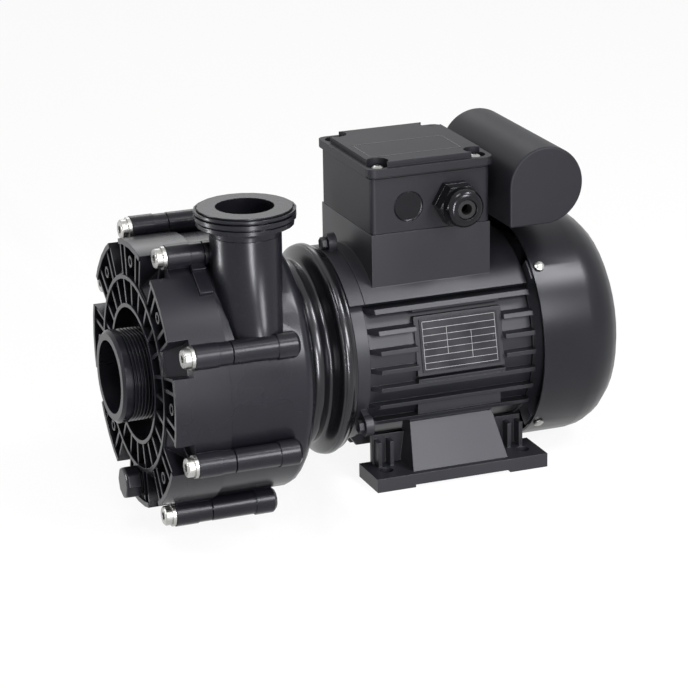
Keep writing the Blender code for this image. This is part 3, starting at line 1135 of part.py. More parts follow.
def outlet_outline():
    """The outlet pipe and its grooved flange, along +X from the shaft level up."""
    top = OUTLET_TOP - SHAFT_HEIGHT
    flange_bottom = top - OUTLET_FLANGE_THICKNESS
    land = (OUTLET_FLANGE_THICKNESS - OUTLET_GROOVES * OUTLET_GROOVE) / (OUTLET_GROOVES + 1)
    outline = [(0.0, 0.0), (0.0, OUTLET_PIPE_RADIUS)]
    outline += [(flange_bottom - OUTLET_FILLET + OUTLET_FILLET * sin(radians(angle)),
                 OUTLET_PIPE_RADIUS + OUTLET_FILLET * (1.0 - cos(radians(angle))))
                for angle in (0, 45, 90)]
    face_radius = OUTLET_FLANGE_RADIUS - OUTLET_FLANGE_LIP
    at = flange_bottom
    for number in range(OUTLET_GROOVES):
        outline += [(at, OUTLET_FLANGE_RADIUS - (OUTLET_GROOVE if number == 0 else 0.0)),
                    (at + land, OUTLET_FLANGE_RADIUS - (OUTLET_GROOVE if number == 0 else 0.0)),
                    (at + land, OUTLET_FLANGE_RADIUS - OUTLET_GROOVE * 2),
                    (at + land + OUTLET_GROOVE, OUTLET_FLANGE_RADIUS - OUTLET_GROOVE * 2)]
        at += land + OUTLET_GROOVE
    outline += [(at, OUTLET_FLANGE_RADIUS), (top - OUTLET_FLANGE_STEP, OUTLET_FLANGE_RADIUS),
                (top - OUTLET_FLANGE_STEP, face_radius + OUTLET_FACE_GROOVE),
                (top - OUTLET_FLANGE_STEP - OUTLET_FACE_GROOVE, face_radius + OUTLET_FACE_GROOVE),
                (top - OUTLET_FLANGE_STEP - OUTLET_FACE_GROOVE, face_radius),
                (top, face_radius), (top, 0.0)]
    return outline


def make_casing():
    rear = CASING_REAR_X
    chamfer_x = rear - CASING_CHAMFER_LENGTH
    chamfer_radius = CASING_RIM_RADIUS + CASING_CHAMFER_DROP
    shoulder_x = chamfer_x - CASING_SHOULDER_ROUND
    rounding = CASING_RADIUS - chamfer_radius
    shoulder = [(shoulder_x + CASING_SHOULDER_ROUND * sin(radians(angle)),
                 chamfer_radius + rounding * cos(radians(angle))) for angle in range(0, 91, 30)]
    casing = on_axis("pump_casing", lathe(
        [(CASING_FRONT_X, 0.0), (CASING_FRONT_X, CASING_RADIUS)] + shoulder
        + [(rear, CASING_RIM_RADIUS), (rear, 0.0)]), "moulded_plastic")
    add(casing, shifted(upright(lathe(outlet_outline(), MEDIUM_STEPS)), OUTLET_X, -OUTLET_Y, 0.0))
    add(casing, gathered([casing_boss(angle) for angle in bolt_angles()]))
    inner = CASING_INNER_RADIUS
    chamber_round = CASING_SHOULDER_ROUND
    cut(casing, lathe([(CASING_FRONT_X - OVERRUN, 0.0), (CASING_FRONT_X - OVERRUN, inner + ORING_SEAT),
                       (CASING_FRONT_X + ORING_SEAT, inner + ORING_SEAT),
                       (CASING_FRONT_X + ORING_SEAT, inner), (CASING_WALL_X - chamber_round, inner),
                       (CASING_WALL_X - chamber_round / 3, inner - chamber_round / 3),
                       (CASING_WALL_X, inner - chamber_round), (CASING_WALL_X, 0.0)]))
    cut(casing, rod(SEAL_PLATE_RADIUS + CLEARANCE, CASING_WALL_X - OVERRUN, rear + OVERRUN,
                    MEDIUM_STEPS))
    cut(casing, around(lambda: rod(BOLT_RADIUS + CLEARANCE, CASING_FRONT_X - OVERRUN,
                                   CASING_FRONT_X + BOLT_ENTRY, FINE_STEPS),
                       BOLT_COUNT, BOLT_FIRST_ANGLE, BOLT_CIRCLE))
    bore = upright(rod(OUTLET_BORE_RADIUS, 0.0, OUTLET_TOP - SHAFT_HEIGHT + OVERRUN, MEDIUM_STEPS))
    cut(casing, shifted(bore, OUTLET_X, -OUTLET_Y, 0.0))


def make_casing_seal():
    """Round rubber ring in the corner between the cover's spigot and the casing's mouth."""
    centre = (CASING_FRONT_X + ORING_SEAT / 2, CASING_INNER_RADIUS + ORING_SEAT / 2)
    ring = arc(centre, ORING_RADIUS, 0.0, 300.0, 5)
    on_axis("casing_oring", lathe(ring, MEDIUM_STEPS), "rubber")


def make_seal_plate():
    """Carrier for the fixed seal ring, set in the casing's rear wall from the wet side."""
    bore = SHAFT_WET_RADIUS + SEAL_RUNNING_GAP
    pocket = SEAL_SEAT_RADIUS + CLEARANCE
    front = CASING_WALL_X - CLEARANCE - SEAL_PLATE_LIP
    rear = CASING_REAR_X - CLEARANCE
    on_axis("seal_plate", lathe([
        (front, pocket), (front, SEAL_PLATE_FLANGE), (front + SEAL_PLATE_LIP, SEAL_PLATE_FLANGE),
        (front + SEAL_PLATE_LIP, SEAL_PLATE_RADIUS), (rear, SEAL_PLATE_RADIUS), (rear, bore),
        (front + SEAL_SEAT_WIDTH, bore), (front + SEAL_SEAT_WIDTH, pocket)], MEDIUM_STEPS),
        "moulded_plastic")
    seat_rear = front + SEAL_SEAT_WIDTH - CLEARANCE
    on_axis("seal_seat_ring", tube(SEAL_SEAT_RADIUS, bore, seat_rear - SEAL_SEAT_WIDTH, seat_rear,
                                   SMALL_STEPS), "ceramic")
    seat_front = seat_rear - SEAL_SEAT_WIDTH
    on_axis("seal_rotor", lathe([
        (IMPELLER_BACK_X + CLEARANCE, SHAFT_WET_RADIUS + CLEARANCE),
        (IMPELLER_BACK_X + CLEARANCE, SEAL_ROTOR_RADIUS),
        (seat_front - SEAL_RUNNING_GAP, SEAL_ROTOR_RADIUS),
        (seat_front - CLEARANCE, SEAL_ROTOR_RADIUS - SEAL_RUNNING_GAP),
        (seat_front - CLEARANCE, SHAFT_WET_RADIUS + CLEARANCE)], SMALL_STEPS), "rubber")


def vane_outline():
    """Plan of one backward-swept vane, from the eye to the rim."""
    inner = IMPELLER_EYE_RADIUS - IMPELLER_VANE_THICKNESS
    outer = IMPELLER_RADIUS - IMPELLER_VANE_THICKNESS / 2
    front_side = []
    back_side = []
    for step in range(6):
        share = step / 5
        radius = inner + (outer - inner) * share
        angle = radians(IMPELLER_VANE_SWEEP) * share
        lead = IMPELLER_VANE_THICKNESS / 2 / radius
        front_side.append((radius * cos(angle + lead), radius * sin(angle + lead)))
        back_side.append((radius * cos(angle - lead), radius * sin(angle - lead)))
    return front_side + back_side[::-1]


def make_impeller():
    """Closed impeller: a back disc with a hub, swept vanes and a front ring with an eye."""
    bore = SHAFT_WET_RADIUS + CLEARANCE
    back = IMPELLER_BACK_X
    impeller = on_axis("impeller", lathe([
        (back, bore), (back, IMPELLER_RADIUS), (back - IMPELLER_SHROUD, IMPELLER_RADIUS),
        (back - IMPELLER_SHROUD, IMPELLER_HUB_RADIUS), (IMPELLER_HUB_FRONT_X, IMPELLER_HUB_RADIUS),
        (IMPELLER_HUB_FRONT_X, bore)], MEDIUM_STEPS), "moulded_plastic")
    vane = lambda: prism(vane_outline(), "X", back - IMPELLER_SHROUD / 2,
                         IMPELLER_FRONT_X + IMPELLER_SHROUD / 2)
    add(impeller, around(vane, IMPELLER_VANES))
    add(impeller, lathe([
        (IMPELLER_FRONT_X, IMPELLER_EYE_RADIUS - IMPELLER_SHROUD),
        (IMPELLER_FRONT_X + IMPELLER_SHROUD, IMPELLER_EYE_RADIUS - IMPELLER_SHROUD),
        (IMPELLER_FRONT_X + IMPELLER_SHROUD, IMPELLER_RADIUS),
        (IMPELLER_FRONT_X, IMPELLER_RADIUS)], MEDIUM_STEPS))
    nut_rear = IMPELLER_HUB_FRONT_X - CLEARANCE
    nut = on_axis("impeller_nut", prism(hexagon(IMPELLER_NUT_RADIUS * sqrt(3.0)), "X",
                                        nut_rear - IMPELLER_NUT_LENGTH, nut_rear), "bright_steel")
    cut(nut, rod(SHAFT_STUD_RADIUS + CLEARANCE, nut_rear - IMPELLER_NUT_LENGTH - OVERRUN,
                 nut_rear + OVERRUN))


def cover_outline():
    """Turned section of the front cover, from the inlet face back round to its suction tube."""
    spigot = CASING_INNER_RADIUS - CLEARANCE
    half = COVER_RING_THICKNESS / 2
    suction_end = IMPELLER_FRONT_X - SUCTION_TUBE_GAP
    nose_end = INLET_FACE_X + INLET_NOSE
    outline = [(INLET_FACE_X, INLET_BORE_RADIUS), (INLET_FACE_X, INLET_RADIUS - INLET_CHAMFER),
               (INLET_FACE_X + INLET_CHAMFER, INLET_RADIUS), (nose_end, INLET_RADIUS),
               (nose_end, INLET_THREAD_ROOT_RADIUS), (COVER_FLOOR_X, INLET_THREAD_ROOT_RADIUS)]
    for ring in COVER_RING_RADII:
        outline += [(COVER_FLOOR_X, ring - half), (SKIRT_FRONT_X, ring - half),
                    (SKIRT_FRONT_X, ring + half), (COVER_FLOOR_X, ring + half)]
    outline += [(COVER_FLOOR_X, SKIRT_RADIUS - SKIRT_WALL), (SKIRT_FRONT_X, SKIRT_RADIUS - SKIRT_WALL),
                (SKIRT_FRONT_X, SKIRT_RADIUS), (JOINT_X, SKIRT_RADIUS), (JOINT_X, spigot),
                (JOINT_X + REGISTER_DEPTH, spigot), (JOINT_X + REGISTER_DEPTH, spigot - REGISTER_WALL),
                (COVER_BACK_X, spigot - REGISTER_WALL), (COVER_BACK_X, SUCTION_TUBE_RADIUS),
                (suction_end, SUCTION_TUBE_RADIUS), (suction_end, INLET_BORE_RADIUS)]
    return outline


def cover_ribs():
    """Short ribs between the two rings, and a leaning pair out to the skirt between the bolts."""
    front = SKIRT_FRONT_X + COVER_RIB_SETBACK
    back = COVER_FLOOR_X + COVER_PLATE / 2
    half = COVER_RIB_THICKNESS / 2
    inner_ring, outer_ring = COVER_RING_RADII
    skirt = SKIRT_RADIUS - SKIRT_WALL / 2
    eye_centre = SKIRT_RADIUS - COVER_EYE_INSET
    ribs = []
    for number in range(BOLT_COUNT):
        between = BOLT_FIRST_ANGLE + (number + 0.5) * 360.0 / BOLT_COUNT
        for lean in RING_RIB_ANGLES:
            rib = block((front, -outer_ring, -half), (back, -inner_ring, half))
            ribs.append(turned(rib, -(between + lean), "X"))
        for lean in (-COVER_RIB_ANGLE, COVER_RIB_ANGLE):
            rib = block((front, -skirt, -half), (back, -outer_ring, half))
            ribs.append(turned(rib, -(between + lean), "X"))
    for angle in eye_angles():
        ribs.append(shaft_angle(rod(COVER_EYE_RADIUS, front, back, FINE_STEPS), angle, eye_centre))
    return gathered(ribs)


def eye_angles():
    """Screw eyes stand midway between the bolts, apart from the place of the drain plug."""
    middles = [angle + 180.0 / BOLT_COUNT for angle in bolt_angles()]
    return [angle for angle in middles if round(angle) != 270]


def scallop(front, lip, floor, inner, half_width):
    """A wedge round one bolt, narrow at the outer ring and wide at the skirt, with a sloping floor."""
    outer = SKIRT_RADIUS + OVERRUN
    slope_end = inner + (SKIRT_RADIUS - inner) * SCALLOP_SLOPE_SHARE
    tool = prism([(front, -outer), (front, -inner), (lip, -inner), (floor, -slope_end), (floor, -outer)],
                 "Z", -half_width, half_width)
    for vert in tool.verts:
        outward = (-vert.co.y - inner) / (outer - inner)
        vert.co.z *= SCALLOP_INNER_SHARE + (1.0 - SCALLOP_INNER_SHARE) * outward
    return tool


def cover_boss_outline():
    neck = JOINT_X - COVER_BOSS_NECK_LENGTH
    end = JOINT_X - COVER_BOSS_RELIEF
    return [(BOSS_SEAT_X, 0.0), (BOSS_SEAT_X, COVER_BOSS_RADIUS), (neck, COVER_BOSS_RADIUS),
            (neck, COVER_BOSS_NECK_RADIUS), (end, COVER_BOSS_NECK_RADIUS), (end, 0.0)]


def make_cover():
    """The ribbed front cover: an inlet tube, two rings, ribs, screw eyes and a scalloped skirt."""
    cover = on_axis("front_cover", lathe(cover_outline()), "moulded_plastic")
    add(cover, cover_ribs())
    plate_middle = COVER_FLOOR_X + COVER_PLATE / 2
    floor = SKIRT_FRONT_X + SCALLOP_FLOOR_DEPTH
    lip = SKIRT_FRONT_X + SCALLOP_LIP_DEPTH
    walls = lambda: scallop(SKIRT_FRONT_X + COVER_RIB_SETBACK, plate_middle, plate_middle,
                            COVER_RING_RADII[-1] + COVER_RING_THICKNESS / 4,
                            SCALLOP_HALF_WIDTH + COVER_RIB_THICKNESS)
    trim = tube(SKIRT_RADIUS + OVERRUN * 2, SKIRT_RADIUS - SKIRT_WALL / 2, SKIRT_FRONT_X - OVERRUN,
                JOINT_X, LARGE_STEPS)
    spare(add(cover, around(walls, BOLT_COUNT, BOLT_FIRST_ANGLE)), trim)
    notch = lambda: scallop(SKIRT_FRONT_X - OVERRUN, lip, floor,
                            COVER_RING_RADII[-1] + COVER_RING_THICKNESS / 2 + SCALLOP_TRIM,
                            SCALLOP_HALF_WIDTH)
    cut(cover, around(notch, BOLT_COUNT, BOLT_FIRST_ANGLE))
    spur_half = COVER_RIB_THICKNESS / 2
    washer_edge = BOLT_CIRCLE - BOLT_WASHER_RADIUS - CLEARANCE
    spur = lambda: block((floor - SPUR_HEIGHT, -washer_edge, -spur_half),
                         (plate_middle, -(COVER_RING_RADII[-1] + SKIRT_RADIUS) / 2, spur_half))
    add(cover, around(spur, BOLT_COUNT, BOLT_FIRST_ANGLE))
    eye = lambda: rod(COVER_EYE_HOLE_RADIUS, SKIRT_FRONT_X - OVERRUN, COVER_FLOOR_X, FINE_STEPS)
    cut(cover, gathered([shaft_angle(eye(), angle, SKIRT_RADIUS - COVER_EYE_INSET)
                         for angle in eye_angles()]))
    add(cover, around(lambda: lathe(cover_boss_outline(), SMALL_STEPS), BOLT_COUNT,
                      BOLT_FIRST_ANGLE, BOLT_CIRCLE))
    cut(cover, around(lambda: rod(BOLT_RADIUS + CLEARANCE, BOSS_SEAT_X - OVERRUN, JOINT_X + OVERRUN,
                                  FINE_STEPS), BOLT_COUNT, BOLT_FIRST_ANGLE, BOLT_CIRCLE))
    drain_boss = rod(DRAIN_BOSS_RADIUS, DRAIN_SEAT_X, COVER_BACK_X - COVER_PLATE / 3, MEDIUM_STEPS)
    add(cover, shifted(drain_boss, 0.0, 0.0, -DRAIN_DROP))
    drain_hole = rod(DRAIN_STEM_RADIUS + CLEARANCE, DRAIN_SEAT_X - OVERRUN, COVER_BACK_X + OVERRUN)
    cut(cover, shifted(drain_hole, 0.0, 0.0, -DRAIN_DROP))


def make_casing_bolt(name, angle):
    """Socket screw with its captive washer."""
    washer = BOSS_SEAT_X - CLEARANCE
    head = washer - BOLT_WASHER
    top = head - BOLT_HEAD
    tip = CASING_FRONT_X + BOLT_ENTRY - CLEARANCE
    chamfer = BOLT_HEAD / 6
    bolt = on_axis(name, shaft_angle(lathe([
        (top, 0.0), (top, BOLT_HEAD_RADIUS - chamfer), (top + chamfer, BOLT_HEAD_RADIUS),
        (head, BOLT_HEAD_RADIUS), (head, BOLT_WASHER_RADIUS), (washer, BOLT_WASHER_RADIUS),
        (washer, BOLT_RADIUS), (tip, BOLT_RADIUS), (tip, 0.0)], SMALL_STEPS), angle, BOLT_CIRCLE),
        "zinc_steel")
    socket = prism(hexagon(BOLT_SOCKET_RADIUS * sqrt(3.0)), "X", top - OVERRUN,
                   top + BOLT_SOCKET_DEPTH)
    cut(bolt, shaft_angle(socket, angle, BOLT_CIRCLE))


def make_drain_plug():
    """Plug with an eight-sided grip and its rubber seal, at the bottom of the front cover."""
    seal_rear = DRAIN_SEAT_X - CLEARANCE
    seal_front = seal_rear - DRAIN_SEAL_RADIUS * 2
    head_rear = seal_front - CLEARANCE
    head_front = head_rear - DRAIN_HEAD
    stem_end = DRAIN_SEAT_X + DRAIN_STEM
    place = (0.0, 0.0, SHAFT_HEIGHT - DRAIN_DROP)
    body("drain_plug", lathe([
        (head_front, 0.0), (head_front, DRAIN_HEAD_RADIUS - DRAIN_HEAD / 8),
        (head_front + DRAIN_HEAD / 8, DRAIN_HEAD_RADIUS), (head_rear, DRAIN_HEAD_RADIUS),
        (head_rear, DRAIN_STEM_RADIUS), (stem_end, DRAIN_STEM_RADIUS), (stem_end, 0.0)], FINE_STEPS),
        "moulded_plastic", place)
    body("drain_plug_seal", tube(DRAIN_STEM_RADIUS + CLEARANCE + DRAIN_SEAL_RADIUS * 2,
                                 DRAIN_STEM_RADIUS + CLEARANCE, seal_front, seal_rear, SMALL_STEPS),
         "rubber", place)


def make_pump():
    make_frame()
    for side, word in ((-1, "near"), (1, "far")):
        make_foot(word + "_foot", side)
        for number, place in enumerate((-FOOT_SCREW_X, FOOT_SCREW_X), 1):
            make_foot_screw(f"{word}_foot_screw_{number}", side, place)
    make_front_shield()
    make_rear_shield()
    for number in range(TIE_BOLT_COUNT):
        make_tie_bolt(f"tie_bolt_{number + 1}", TIE_BOLT_ANGLE + number * 360.0 / TIE_BOLT_COUNT)
    make_bearing("front_bearing", FRONT_BEARING_X)
    make_bearing("rear_bearing", REAR_BEARING_X)
    make_stator()
    make_shaft()
    make_cowl()
    for number in range(COWL_SCREW_COUNT):
        make_cowl_screw(f"cowl_screw_{number + 1}",
                        COWL_SCREW_ANGLE + number * 360.0 / COWL_SCREW_COUNT)
    make_fan()
    make_terminal_box()
    make_gasket()
    make_lid()
    for number, (across, along) in enumerate(lid_screw_places(), 1):
        make_lid_screw(f"lid_screw_{number}", across, along)
    make_terminal_block()
    make_gland()
    make_capacitor()
    make_rating_plate()
    make_adapter()
    make_slinger()
    make_casing()
    make_casing_seal()
    make_seal_plate()
    make_impeller()
    make_cover()
    for number, angle in enumerate(bolt_angles(), 1):
        make_casing_bolt(f"casing_bolt_{number}", angle)
    make_drain_plug()


make_pump()
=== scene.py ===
# %% [markdown]
# # A swimming pool pump, dressed over its CAD frame
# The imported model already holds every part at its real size: the ribbed wet end, the finned motor,
# the terminal box and the feet. This lesson gives those parts smooth faces and real finishes, models
# the fine details that are too small for the CAD solids, and sets up the camera and the light of a
# plain studio.

# %% Load the frame
import json
from math import cos, pi, radians, sin, tau

import bpy
from mathutils import Matrix, Vector

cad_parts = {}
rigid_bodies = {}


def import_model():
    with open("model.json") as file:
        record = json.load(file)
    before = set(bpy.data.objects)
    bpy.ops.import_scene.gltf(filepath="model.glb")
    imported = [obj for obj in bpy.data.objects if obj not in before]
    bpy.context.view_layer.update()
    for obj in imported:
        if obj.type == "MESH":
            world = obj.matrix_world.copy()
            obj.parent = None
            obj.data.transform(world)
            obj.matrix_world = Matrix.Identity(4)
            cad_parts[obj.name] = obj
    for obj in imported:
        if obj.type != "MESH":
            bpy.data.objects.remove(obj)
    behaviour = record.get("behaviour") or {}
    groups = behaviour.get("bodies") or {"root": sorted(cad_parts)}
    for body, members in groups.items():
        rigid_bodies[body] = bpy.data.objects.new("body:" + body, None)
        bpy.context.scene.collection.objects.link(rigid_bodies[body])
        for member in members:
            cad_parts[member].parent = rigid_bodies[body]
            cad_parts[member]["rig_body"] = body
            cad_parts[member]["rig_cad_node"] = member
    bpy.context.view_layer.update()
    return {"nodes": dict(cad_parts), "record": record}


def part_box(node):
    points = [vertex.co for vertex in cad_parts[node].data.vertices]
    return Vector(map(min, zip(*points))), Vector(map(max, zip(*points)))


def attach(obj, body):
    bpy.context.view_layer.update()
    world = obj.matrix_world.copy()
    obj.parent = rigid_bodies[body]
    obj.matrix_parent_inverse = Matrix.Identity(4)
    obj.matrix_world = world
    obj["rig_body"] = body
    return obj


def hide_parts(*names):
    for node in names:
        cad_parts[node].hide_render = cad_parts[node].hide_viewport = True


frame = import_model()
nodes = frame["nodes"]
print("nodes loaded:", len(nodes))

# %% [markdown]
# ## The camera
# A long lens from about two metres away gives the flat, technical look of a catalogue picture.
# The camera looks down a little and stands to the left, so the inlet, the near side and the lid
# all show. Its place is worked out from two angles and a distance, which are easy to adjust.

# %% Camera
VIEW_TARGET = Vector((-0.05473, 0.0, 0.08010))
VIEW_AZIMUTH = -21.06
VIEW_ELEVATION = 18.55
VIEW_ROLL = -0.99
VIEW_DISTANCE = 2.06171
VIEW_LENS = 158.73
SENSOR_WIDTH = 36.0

camera_data = bpy.data.cameras.new("studio_camera")
camera_data.lens = VIEW_LENS
camera_data.sensor_width = SENSOR_WIDTH
camera = bpy.data.objects.new("studio_camera", camera_data)
bpy.context.scene.collection.objects.link(camera)
look = (Matrix.Rotation(radians(VIEW_AZIMUTH), 4, "Z")
        @ Matrix.Rotation(radians(90.0 - VIEW_ELEVATION), 4, "X")
        @ Matrix.Rotation(radians(VIEW_ROLL), 4, "Z"))
eye = VIEW_TARGET + look.to_3x3() @ Vector((0.0, 0.0, VIEW_DISTANCE))
camera.matrix_world = Matrix.Translation(eye) @ look
bpy.context.scene.camera = camera
bpy.context.scene.view_settings.view_transform = "Standard"
print("camera at", [round(value, 3) for value in eye])

# %% [markdown]
# ## The floor
# The pump is bolted down near the edge of a base, because its wet end is wider than the shaft is
# high. The floor is one pale sheet with a short slope in front of the feet. One edge of a plane is
# extruded down and then onwards in edit mode, and the two folds are rounded, so that no hard line
# shows in the picture.

# %% Helpers for modelling
def start_clean():
    """Leave edit mode and select nothing, so that an operator acts only on the new piece."""
    if bpy.context.object is not None and bpy.context.object.mode != "OBJECT":
        bpy.ops.object.mode_set(mode="OBJECT")
    bpy.ops.object.select_all(action="DESELECT")


def make_active(piece):
    """Select one piece and nothing else, and make it the active one."""
    start_clean()
    piece.select_set(True)
    bpy.context.view_layer.objects.active = piece


def settle(piece, name, smooth_angle=35.0):
    """Put the piece's place in its mesh, name it and shade it smooth up to an angle."""
    make_active(piece)
    bpy.ops.object.transform_apply(location=True, rotation=True, scale=True)
    bpy.ops.object.shade_smooth_by_angle(angle=radians(smooth_angle))
    piece.name = name
    piece.data.name = name
    return piece


def copy_of(piece):
    """A copy of a piece with a mesh of its own."""
    make_active(piece)
    bpy.ops.object.duplicate()
    return bpy.context.object


def pick(piece, kind, test):
    """Select the faces or the edges that pass a test on their place, and enter edit mode."""
    bpy.ops.object.mode_set(mode="EDIT")
    bpy.ops.mesh.select_mode(type=kind)
    bpy.ops.mesh.select_all(action="DESELECT")
    bpy.ops.object.mode_set(mode="OBJECT")
    if kind == "FACE":
        for face in piece.data.polygons:
            face.select = test(face.center, face.normal)
    else:
        points = [vert.co.copy() for vert in piece.data.vertices]
        for edge in piece.data.edges:
            edge.select = test(*(points[index] for index in edge.vertices))
    bpy.ops.object.mode_set(mode="EDIT")


def extrude(*step):
    """Extrude what is selected in edit mode by a step, given as x, y and z."""
    bpy.ops.mesh.extrude_region_move(TRANSFORM_OT_translate={"value": step})


def leave_outward():
    """Turn all faces outward and leave edit mode."""
    bpy.ops.mesh.select_all(action="SELECT")
    bpy.ops.mesh.normals_make_consistent(inside=False)
    bpy.ops.object.mode_set(mode="OBJECT")


# %% Floor
FLOOR_REACH = 6.0
FLOOR_EDGE_X = -0.082
FLOOR_DROP = 0.030
FLOOR_SLOPE_LENGTH = 0.022
FLOOR_EDGE_ROUND = 0.008
FLOOR_ROUND_STEPS = 8
FLOOR_SMOOTH_ANGLE = 60.0
FOLD_SEARCH = 0.1
SAME_X = 0.001

start_clean()
floor_middle = (FLOOR_EDGE_X + FLOOR_REACH, 0.0, 0.0)
bpy.ops.mesh.primitive_plane_add(size=FLOOR_REACH * 2, location=floor_middle)
floor = bpy.context.object
pick(floor, "EDGE", lambda a, b: a.x < 0.0 and b.x < 0.0)
extrude(-FLOOR_SLOPE_LENGTH, 0.0, -FLOOR_DROP)
extrude(-FLOOR_REACH * 2, 0.0, 0.0)
pick(floor, "EDGE", lambda a, b: abs(a.x - b.x) < SAME_X and abs(a.x + FLOOR_REACH) < FOLD_SEARCH)
bpy.ops.mesh.bevel(offset=FLOOR_EDGE_ROUND, segments=FLOOR_ROUND_STEPS)
settle(floor, "floor", FLOOR_SMOOTH_ANGLE)
print("floor faces:", len(floor.data.polygons))

# %% [markdown]
# ## Materials
# Nearly everything on this pump is black, so the finishes must differ in gloss and grain and not in
# colour: satin moulded plastic, matt black paint on castings, glossy black paint on the adapter and
# a smooth dark coat on the cowl. Each one is a small node tree on Object coordinates. A broad noise
# changes the colour and the roughness a little, a fine noise makes the grain, and a Bevel node
# rounds the sharp edges of the solids for the light only.

# %% Helpers for materials
PATTERN_LOW = 0.3
PATTERN_HIGH = 0.7
BEVEL_SAMPLES = 6
EDGE_SOFTNESS = 0.0006
PATCH_SCALE = 9.0
COOL_TINT = (0.94, 0.94, 1.0, 1.0)


def new_material(name):
    """A material with its node tree, its shader and its Object coordinates."""
    material = bpy.data.materials.new(name)
    material.use_nodes = True
    tree = material.node_tree
    shader = tree.nodes["Principled BSDF"]
    place = tree.nodes.new("ShaderNodeTexCoord")
    return material, tree, shader, place.outputs["Object"]


def noise(tree, coordinates, scale, detail=3.0, stretch=None):
    """A noise pattern, drawn out along an axis if a stretch is given."""
    if stretch is not None:
        mapping = tree.nodes.new("ShaderNodeMapping")
        mapping.inputs["Scale"].default_value = stretch
        tree.links.new(coordinates, mapping.inputs["Vector"])
        coordinates = mapping.outputs["Vector"]
    texture = tree.nodes.new("ShaderNodeTexNoise")
    texture.inputs["Scale"].default_value = scale
    texture.inputs["Detail"].default_value = detail
    tree.links.new(coordinates, texture.inputs["Vector"])
    return texture.outputs["Fac"]


def spread(tree, value, low, high):
    """Map the middle values of a pattern to a range of numbers."""
    node = tree.nodes.new("ShaderNodeMapRange")
    limits = {"From Min": PATTERN_LOW, "From Max": PATTERN_HIGH, "To Min": low, "To Max": high}
    for socket, number in limits.items():
        node.inputs[socket].default_value = number
    tree.links.new(value, node.inputs["Value"])
    return node.outputs["Result"]


def blend_colours(tree, value, first, second):
    """Go from one colour to another along a pattern."""
    node = tree.nodes.new("ShaderNodeMix")
    node.data_type = "RGBA"
    node.inputs["A"].default_value = (*first, 1.0)
    node.inputs["B"].default_value = (*second, 1.0)
    tree.links.new(value, node.inputs["Factor"])
    return node.outputs["Result"]


def raise_grain(tree, shader, pattern, height, edge_softness=0.0):
    """Bump the surface by a pattern, its height in metres, over softly rounded edges."""
    bump = tree.nodes.new("ShaderNodeBump")
    bump.inputs["Strength"].default_value = 1.0
    bump.inputs["Distance"].default_value = height
    tree.links.new(pattern, bump.inputs["Height"])
    if edge_softness > 0.0:
        bevel = tree.nodes.new("ShaderNodeBevel")
        bevel.samples = BEVEL_SAMPLES
        bevel.inputs["Radius"].default_value = edge_softness
        tree.links.new(bevel.outputs["Normal"], bump.inputs["Normal"])
    tree.links.new(bump.outputs["Normal"], shader.inputs["Normal"])


def grained_finish(name, dark, light, rough, grain, height, specular=0.3):
    """A finish whose colour and gloss vary slowly, with a fine grain on top."""
    material, tree, shader, coordinates = new_material(name)
    broad = noise(tree, coordinates, PATCH_SCALE, detail=4.0)
    fine = noise(tree, coordinates, grain, detail=2.0)
    colour = blend_colours(tree, spread(tree, broad, 0.0, 1.0), dark, light)
    tree.links.new(colour, shader.inputs["Base Color"])
    tree.links.new(spread(tree, broad, *rough), shader.inputs["Roughness"])
    shader.inputs["Specular IOR Level"].default_value = specular
    shader.inputs["Specular Tint"].default_value = COOL_TINT
    raise_grain(tree, shader, fine, height, EDGE_SOFTNESS)
    return material


# %% Dark finishes
moulded_plastic = grained_finish("moulded_plastic", (0.005, 0.005, 0.007), (0.008, 0.008, 0.011),
                                 rough=(0.25, 0.30), grain=900.0, height=0.00001, specular=0.26)
box_plastic = grained_finish("box_plastic", (0.006, 0.006, 0.008), (0.009, 0.009, 0.012),
                             rough=(0.48, 0.56), grain=1400.0, height=0.00002, specular=0.24)
motor_paint = grained_finish("motor_paint", (0.006, 0.006, 0.008), (0.010, 0.010, 0.013),
                             rough=(0.38, 0.48), grain=600.0, height=0.00002, specular=0.4)
adapter_paint = grained_finish("adapter_paint", (0.002, 0.002, 0.003), (0.004, 0.004, 0.005),
                               rough=(0.20, 0.25), grain=260.0, height=0.00001, specular=0.48)
# Glossy black of the gland and the entry dish; it also paints the shade of the lid's groove and of the
# screw recesses.
gloss_black_and_shade = grained_finish("gloss_black_and_shade", (0.002, 0.002, 0.003), (0.004, 0.004, 0.005),
                               rough=(0.16, 0.22), grain=900.0, height=0.00001, specular=0.25)
cowl_paint = grained_finish("cowl_paint", (0.005, 0.005, 0.007), (0.008, 0.008, 0.010),
                            rough=(0.27, 0.31), grain=1800.0, height=0.00001, specular=0.24)
rubber = grained_finish("rubber", (0.005, 0.005, 0.005), (0.009, 0.009, 0.009),
                        rough=(0.60, 0.75), grain=800.0, height=0.00003)
print("dark finishes made, the last one is", rubber.name)

# %% [markdown]
# ### Metal and the pale parts
# Metal needs another recipe. Turned and plated steel shows fine lines and faint clouds in its
# gloss, a core of stacked sheets shows its edges as close lines, and a winding shows its wires.
# The pale and the brown mouldings follow the first recipe with colours of their own.

# %% Bright finishes
CLOUD_SCALE = 60.0
MARK_SCALE = 900.0
MARK_HEIGHT = 0.00001
METAL_EDGE_SOFTNESS = 0.0002
WAVE_LENGTH = 0.314
WAVE_DISTORTION = 0.4
LAYER_PATCH_SCALE = 80.0
LAYER_GLOSS_CHANGE = 0.2


